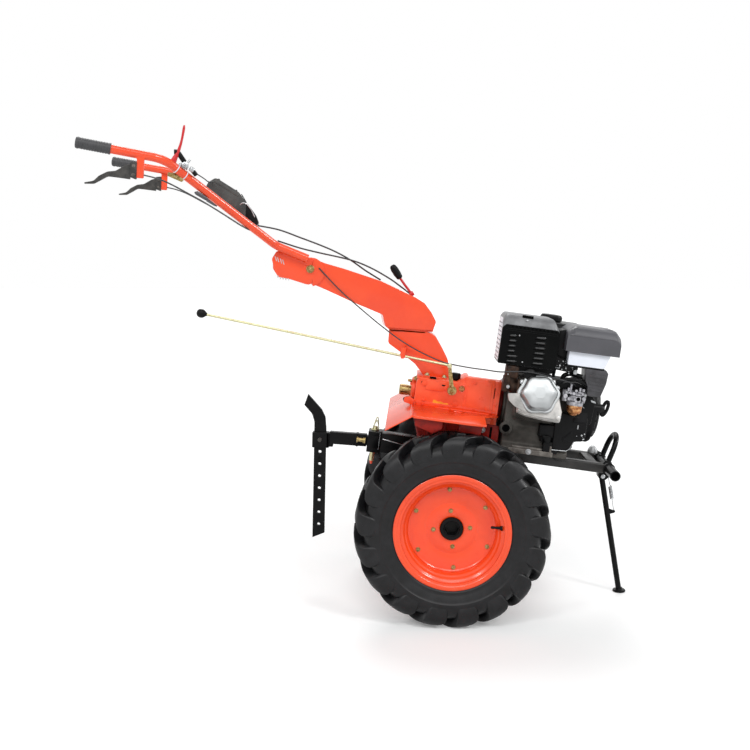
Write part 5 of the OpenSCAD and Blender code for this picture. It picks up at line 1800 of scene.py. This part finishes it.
# ---------------------------------------------------------------- handlebar
@dataclass
class Handlebar:
    """The tilting handlebar: toothed bracket, two bent tubes, grips, levers, console and cables.

    Args:
        tube: Radius of a tube.
        first: Where the left tube's centre line starts, at the tilt joint.
        second: Its first bend.
        third: Its second bend.
        last: Its free end.
    """

    tube: float = 12.5
    first: tuple[float, float, float] = (-10, 59, 31)
    second: tuple[float, float, float] = (-110, 62.8, 64)
    third: tuple[float, float, float] = (-431, 283, 279)
    last: tuple[float, float, float] = (-664, 312, 303)

    def build(self) -> None:
        """Builds the handlebar's pieces."""
        self.bracket()
        for side in Side:
            self.bar(side)
            self.lever(side)
        self.brace()
        self.stop_lever()
        self.console()
        self.cables()

    def bracket(self) -> None:
        """Two cheek plates joined by a web, with the toothed sectors that set the tilt."""
        shape = Shape(TILT)
        arc = [polar(45, angle) for angle in range(-76, 80, 6)]
        cheek = rounded([(4, 36), (-60, 46), (-106, 48), (-120, 22), (-110, -6), (-97, -32), (-60, -36),
                         (10, -53)], [30, 60, 12, 14, 12, 12, 18, 16])
        for y in both(42.3, 47.3):
            shape.plate([(x, z - 9) for x, z in arc] + cheek, *y, bevel=1.2)
        shape.plate(rounded([(-62, -30), (-98, -30), (-114, -8), (-117, 25), (-108, 44), (-68, 42)], 10),
                    -42.4, 42.4, bevel=2)
        for y in both(46, 50):
            shape.plate(rounded([(-90, 44), (-50, 38), (4, 16), (-6, 8), (-46, 22), (-84, 36)],
                                [6, 20, 6, 6, 20, 6]), *y, bevel=2, segments=3)
        shape.done("tilt_bracket_sheet", ENAMEL, "handle_bracket", body="handlebar")
        # The teeth's pale galvanised grey is painted highlight, for the glare along their ribs.
        teeth = Shape(TILT)
        for x, z in ((-111, 32), (-104, 29.4), (-95, 26), (-87.6, 23)):
            teeth.plate([(x, z), (x + 3, z - 1), (x + 8, z - 16), (x + 5, z - 15)], -48.4, 48.4, bevel=0.5,
                        segments=1)
        for k in range(5):
            teeth.pen = shift(-97 + 8 * k, 0, -33 - 0.8 * k + (3 if k == 0 else 0)) @ turn(12 * (2 - k), "Y")
            teeth.box((-1.6, 1.6), (-48, 48), (-4, 3), 0.8, 1)
        teeth.done("tilt_sector_teeth", GALVANISED_AND_HIGHLIGHT, body="handlebar")

    def path(self) -> list[Vector]:
        """Returns the tube's centre line."""
        return rounded([self.first, self.second, self.third, self.last], [0, 60, 110, 0], 8, closed=False)

    def bar(self, side: Side) -> None:
        """One bent tube with its ribbed grip.

        Args:
            side: Which one.
        """
        shape = Shape(side.of(TILT))
        shape.pipe(self.path(), self.tube, 24)
        shape.done(f"handlebar_tube_{side.value}", ENAMEL, f"handlebar_{side.value}", body="handlebar")
        grip = Shape(side.of(TILT))
        end, third = Vector(self.last), Vector(self.third)
        way = (end - third).normalized()
        start = end - 91 * way
        profile = [(12.7, 0), (15, 0), (15.8, 1.4), (15.8, 5), (14.9, 6.4)]
        for k in range(10):
            s = 9 + 7.2 * k
            profile += [(14.9, s), (15.6, s + 1.2), (15.6, s + 4), (14.9, s + 5.2)]
        profile += [(15, 84), (16, 86), (16, 90), (14.4, 93.6), (10, 95), (0, 95), (0, 91.6), (12.7, 91.4)]
        grip.turned(profile, start, way, steps=32)
        grip.done(f"grip_ribbed_{side.value}", GRIP, f"grip_{side.value}", body="handlebar")

    def lever(self, side: Side) -> None:
        """The hanging post, its pivot bracket and the curved clutch lever.

        Args:
            side: Which one.
        """
        post = Shape(side.of(TILT))
        post.plate(rounded([(-503, 221), (-483, 221), (-483, 270), (-478, 290), (-519, 288), (-518, 279),
                            (-503, 274)], [4, 4, 6, 3, 3, 3, 6]), 291, 301, bevel=1.6, segments=3)
        post.done(f"lever_post_{side.value}", ENAMEL, body="handlebar")
        bracket = Shape(side.of(TILT))
        bracket.plate(rounded([(-521, 222), (-502, 216), (-502, 265), (-521, 262)], 3), 289, 303, bevel=2,
                      segments=3)
        bracket.pen = shift(-519, 296, 0) @ turn(-4, "Z")
        outline = rounded([(0, 258), (-16, 252), (-40, 236), (-62, 232), (-84, 219), (-98, 204), (-122, 198),
                           (-122, 194), (-96, 196), (-80, 206), (-60, 219), (-36, 218), (0, 216)],
                          [0, 8, 14, 20, 24, 16, 2, 2, 16, 20, 16, 14, 0])
        bracket.plate(outline, -5, 5, bevel=2.4, segments=3)
        bracket.done(f"clutch_lever_{side.value}_formed", LEVER, f"clutch_lever_{side.value}",
                     body="handlebar")
        bolts = Shape(side.of(TILT))
        for z in (229, 253):
            bolts.bolt((-511, 303, z), FAR, 8, washer=10, tall=3)
            bolts.bolt((-511, 289, z), NEAR, 8, tall=3)
        bolts.done(f"lever_bolts_{side.value}", FOOT, body="handlebar")

    def brace(self) -> None:
        """The tie between the two tubes."""
        shape = Shape(TILT)
        shape.pipe([(-250, -158, 164), (-250, 158, 164)], 8, 20)
        shape.done("handle_tie_tube", ENAMEL, "handle_brace", body="handlebar")

    def stop_lever(self) -> None:
        """The red lever in its plated clip on the right tube, with its black arm and spring."""
        place = Side.RIGHT.of(TILT)
        lever = Shape(place)
        spine = smooth([(-411, 262, 268), (-405, 264, 283), (-396, 265, 303), (-389, 265, 328),
                        (-385, 265, 352), (-382, 265, 378)], 5)
        taper = [7.4, 7.6, 7.4, 7, 6.6, 6.2, 5.8, 5.2, 4.8, 4.4, 4, 3.7, 3.4, 3.2, 3, 2.9, 2.8, 2.7, 2.7, 2.7,
                 2.8, 2.9, 3, 2.9, 2.4, 1.6]
        lever.pipe(spine, taper, flat=1.3)
        lever.done("stop_lever_red", RED, "stop_lever", body="handlebar")
        second, third = Vector(self.second), Vector(self.third)
        way = (third - second).normalized()
        ties = Shape(place)
        for reach in (44, 76):
            ties.turned([(12.4, -1.3), (13.8, -1.3), (14, 0), (13.8, 1.3), (12.4, 1.3)], third - reach * way,
                        way, steps=32)
        ties.done("tube_ties", PALE_BAND, body="handlebar")
        clip = Shape(place)
        clip.plate(rounded([(-423, 247), (-424, 236), (-384, 222), (-378, 226), (-384, 244)], 3), 249, 252)
        clip.bolt((-398, 252, 236), FAR, 9, washer=11)
        clip.done("stop_lever_bracket", AGED_ZINC, body="handlebar")
        bright = Shape(place)
        bright.coil((-392, 262, 268), (-368, 258, 262), 6.4, 1.3, 5)
        bright.box((-384, -366), (252, 264), (262, 276), 2)
        bright.bolt((-376, 264, 272), (0, 1, 0.3), 12, washer=15)
        bright.rod((-372, 258, 270), (-362, 254, 286), 3, sides=12, bevel=0.6)
        bright.rod((-362, 256, 262), (-352, 252, 256), 7, sides=20, bevel=1)
        bright.done("stop_lever_spring", STEEL, body="handlebar")
        switch = Shape(place)
        switch.pipe(smooth([(-407, 262, 303), (-397, 262, 302), (-386, 262, 289), (-377, 260, 277)]), 6.4, 14,
                    flat=1.1)
        switch.rod((-356, 252, 258), (-344, 246, 244), 6.4, sides=20, bevel=1.6)
        switch.done("stop_lever_arm", NYLON, body="handlebar")

    def console(self) -> None:
        """The hood between the tubes, with its rounded black nose and a bright strip."""
        shape = Shape(TILT)
        outline = rounded([(-330, 221), (-322, 238), (-301, 253), (-228, 214), (-219, 201), (-206, 186),
                           (-206, 130)], [6, 8, 12, 14, 10, 4, 4])
        shape.plate(outline, -70, 70, bevel=8, segments=4)
        shape.plate(rounded([(-306, 240), (-232, 201), (-227, 207), (-300, 247)], 3), -71.4, 71.4, bevel=2)
        shape.plate(rounded([(-297, 249), (-236, 216.6), (-234.8, 219), (-295.6, 251.6)], 0.6, 2), -48, 48,
                    bevel=0.8)
        for y in (-58, 58):
            for at in ((-292, 248), (-238, 219)):
                shape.bolt((at[0], y, at[1]), (0.47, 0, 0.88), 7, tall=2.4)
        for k in range(5):
            slat = [(x + 3 * k, z - 4.5 * k) for x, z in ((-224, 210), (-221.6, 207), (-219.4, 209),
                                                          (-221.8, 212))]
            shape.plate(rounded(slat, 0.6, 2), -44, 44, bevel=0.4, segments=1)
        shape.done("console_hood", HOOD, "console", body="handlebar")
        nose = Shape(TILT)
        outline = rounded([(-214, 190), (-200, 181), (-176, 152), (-166, 130), (-172, 114), (-190, 110),
                           (-214, 126)], [4, 10, 16, 10, 8, 6, 4])
        nose.plate(outline, -69.6, 69.6, bevel=9, segments=4)
        nose.plate(rounded([(-322, 214), (-330, 220), (-210, 132), (-196, 108), (-208, 112)],
                           [2, 2, 4, 4, 4], 3), -69, 69, bevel=2)
        nose.done("console_nose", NYLON, body="handlebar")
        strip = Shape(TILT)
        for side in (-1, 1):
            strip.pipe(smooth([(-226, side * 68, 176), (-216, side * 71, 184), (-203, side * 71, 180),
                               (-188, side * 71, 162), (-178, side * 70, 144)]), 1.7, 8)
        strip.pipe([(-217, -66, 199), (-217, 66, 199)], 1.7, 8)
        strip.done("console_bright_strip", STEEL, body="handlebar")

    def cables(self) -> None:
        """The clutch cables under the tubes with their clips, and the throttle cable into the console."""
        shape = Shape(TILT)
        for side in (-1, 1):
            shape.pipe(smooth([(-500, side * 296, 233), (-486, side * 296, 231), (-450, side * 286, 225),
                               (-412, side * 268, 213), (-358, side * 236, 189), (-317, side * 209, 170),
                               (-266, side * 174, 143), (-217, side * 140, 116), (-192, side * 121, 106),
                               (-176, side * 110, 104)], 5), 2.2, 8)
        shape.pipe(smooth([(-350, -248, 252), (-338, -226, 246), (-326, -190, 240), (-318, -120, 236),
                           (-306, -60, 238)], 5), 1.8, 8)
        shape.done("control_cables", SHEATH, body="handlebar")
        clips = Shape(TILT)
        for side in (-1, 1):
            clips.pipe([(-348, side * 228, 197), (-342, side * 225, 196), (-318, side * 208, 184),
                        (-310, side * 203, 178)], [2, 6, 6, 2])
        clips.done("cable_clips", GREY_ABS, body="handlebar")


# ---------------------------------------------------------------- cables over joints
@dataclass
class Cables:
    """The sheathed cables that cross the swivel and the tilt joint.

    Args:
        sheath: Radius of the two cables over the tilt joint.
        thin: Radius of the engine's cable.
    """

    sheath: float = 2.5
    thin: float = 2.0

    def build(self) -> None:
        """Builds the cables, each drawn on a fixed path over its joint."""
        console = [(515, 0, 292), (450, 0, 284), (383, 0, 265), (319, 0, 246), (270, 0, 229), (222, 0, 207),
                   (170, 0, 176), (122, 0, 151)]
        arm = [(452, 12, 250), (383, 14, 233), (319, 8, 222), (222, -4, 207), (160, -12, 188),
               (100, -16, 160), (60, -16, 136), (30, -14, 116)]
        tilt = Shape(SWIVEL)
        for route in (console, arm):
            tilt.pipe(smooth([(-x, y, z) for x, y, z in route], 5), self.sheath)
        made = tilt.done("tilt_cables_sheathed", SHEATH, "tilt_cables", body=None)
        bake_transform(made)
        engine = [(-503, -91, 701), (-459, -86, 664), (-414, -79, 629), (-355, -79, 590), (-293, -80, 551),
                  (-225, -70, 512), (-158, -68, 483), (-93, -76, 464), (-61, -88, 460), (0, -130, 461),
                  (42, -170, 465), (85, -201, 468), (120, -203, 474), (173, -201, 479), (235, -202, 473),
                  (285, -196, 466), (310, -182, 459), (318, -171, 453)]
        throttle = Shape()
        throttle.pipe(smooth(engine, 5), self.thin)
        made = throttle.done("engine_cable_sheathed", SHEATH, "engine_cable", body=None)
        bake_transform(made)


# ---------------------------------------------------------------- studio
@dataclass(frozen=True)
class Lamp:
    """A distant soft lamp.

    Args:
        name: Its name.
        source: Where its light comes from, seen from the machine.
        width: Degrees that it covers in the sky.
        level: Its strength.
        gloss_only: Whether it only shows in glossy surfaces, as a narrow strip far off does.
    """

    name: str
    source: Point
    width: float
    level: float
    gloss_only: bool = False


LAMPS = (Lamp("left_box", (-1.9, -2.5, 2.3), 11, 0.55), Lamp("right_box", (2.0, -2.2, 2.4), 11, 0.8),
         Lamp("front_box", (0.1, -2.4, 2.3), 34, 0.85), Lamp("back_box", (-0.2, 1.7, 2.3), 30, 1.25),
         Lamp("gloss_strip", (0.93, 0.12, 0.35), 10, 1.0, gloss_only=True))


@dataclass
class Studio:
    """The camera, the pale floor and the soft lights.

    Args:
        eye: Where the camera stands, in metres.
        yaw: How far it turns to the left of the Y axis, in radians.
        down: How far it looks down, in radians.
        lens: Its focal length in millimetres.
        film: Its film's width in millimetres.
        ambient: The level of light from all around.
        reach: Half the floor's size in metres.
        lift: Light added where the floor is seen, so that it is as pale as paper.
    """

    eye: tuple[float, float, float] = (-0.6733, -3.216, 1.0845)
    yaw: float = 0.038
    down: float = 0.117
    lens: float = 48.48
    film: float = 36.0
    ambient: float = 0.4
    reach: float = 30.0
    lift: float = 0.17

    def build(self) -> None:
        """Builds the studio."""
        self.camera()
        self.world()
        self.floor()
        self.lights()

    def camera(self) -> None:
        """The camera, level from side to side."""
        data = bpy.data.cameras.new("camera")
        data.lens, data.sensor_width = self.lens, self.film
        made = bpy.data.objects.new("camera", data)
        made.matrix_world = (Matrix.Translation(self.eye) @ Matrix.Rotation(self.yaw, 4, "Z")
                             @ Matrix.Rotation(math.pi / 2 - self.down, 4, "X"))
        bpy.context.scene.collection.objects.link(made)
        bpy.context.scene.camera = made

    def world(self) -> None:
        """A white surround for the eye and for reflections, and a plain level of light on the object."""
        made = bpy.data.worlds.new("studio")
        bpy.context.scene.world = made
        made.use_nodes = True
        tree = made.node_tree
        tree.nodes.clear()
        seen = self.seen(tree)
        level = add(tree, "MapRange", {"To Min": self.ambient, "To Max": 1.0},
                    {"Value": seen}).outputs["Result"]
        back = add(tree, "Background", {"Color": linear("#ffffff")}, {"Strength": level})
        add(tree, "OutputWorld", links={"Surface": back.outputs["Background"]})

    @staticmethod
    def seen(tree: bpy.types.NodeTree) -> bpy.types.NodeSocket:
        """Adds the nodes that tell how a surface is seen.

        Args:
            tree: The node tree.
        Returns:
            A socket that is 1 for rays from the camera, from gloss and through glass.
        """
        path = add(tree, "LightPath").outputs
        first = add(tree, "Math", links={0: path["Is Camera Ray"], 1: path["Is Glossy Ray"]},
                    operation="MAXIMUM")
        last = add(tree, "Math", links={0: first.outputs[0], 1: path["Is Transmission Ray"]},
                   operation="MAXIMUM")
        return last.outputs[0]

    def floor(self) -> None:
        """A plain pale floor that keeps the shadow."""
        mesh = bmesh.new()
        bmesh.ops.create_grid(mesh, x_segments=1, y_segments=1, size=self.reach)
        data = bpy.data.meshes.new("floor")
        mesh.to_mesh(data)
        mesh.free()
        made = bpy.data.objects.new("floor", data)
        bpy.context.scene.collection.objects.link(made)
        finish = bpy.data.materials.new("pale_paper_floor")
        finish.use_nodes = True
        tree = finish.node_tree
        tree.nodes.clear()
        paper = add(tree, "BsdfDiffuse", {"Color": linear("#f2f3f3")})
        lift = add(tree, "Emission", {"Color": linear("#ffffff"), "Strength": self.lift})
        lifted = add(tree, "AddShader", links={0: paper.outputs[0], 1: lift.outputs[0]})
        seen = self.seen(tree)
        mixed = add(tree, "MixShader", links={"Fac": seen, 1: paper.outputs[0], 2: lifted.outputs[0]})
        add(tree, "OutputMaterial", links={"Surface": mixed.outputs[0]})
        data.materials.append(finish)

    def lights(self) -> None:
        """The soft boxes round the machine, and the low strip that draws a line on the long tubes."""
        for lamp in LAMPS:
            data = bpy.data.lights.new(lamp.name, "SUN")
            data.angle, data.energy = math.radians(lamp.width), lamp.level
            made = bpy.data.objects.new(lamp.name, data)
            made.matrix_world = Vector(lamp.source).to_track_quat("Z", "Y").to_matrix().to_4x4()
            made.visible_diffuse = not lamp.gloss_only
            bpy.context.scene.collection.objects.link(made)


def main() -> None:
    """Builds the studio and the tiller."""
    logging.basicConfig(level=logging.INFO, format="%(name)s: %(message)s")
    bpy.context.scene.view_settings.view_transform = "Standard"
    Studio().build()
    for side in Side:
        Wheel(side).build()
    for part in (Gearbox(), Guards(), Hitch(), FrontFrame(), Engine(), Steering(), Handlebar(), Cables()):
        part.build()
        LOG.info("%s is built", type(part).__name__)


if __name__ == "__main__":
    main()
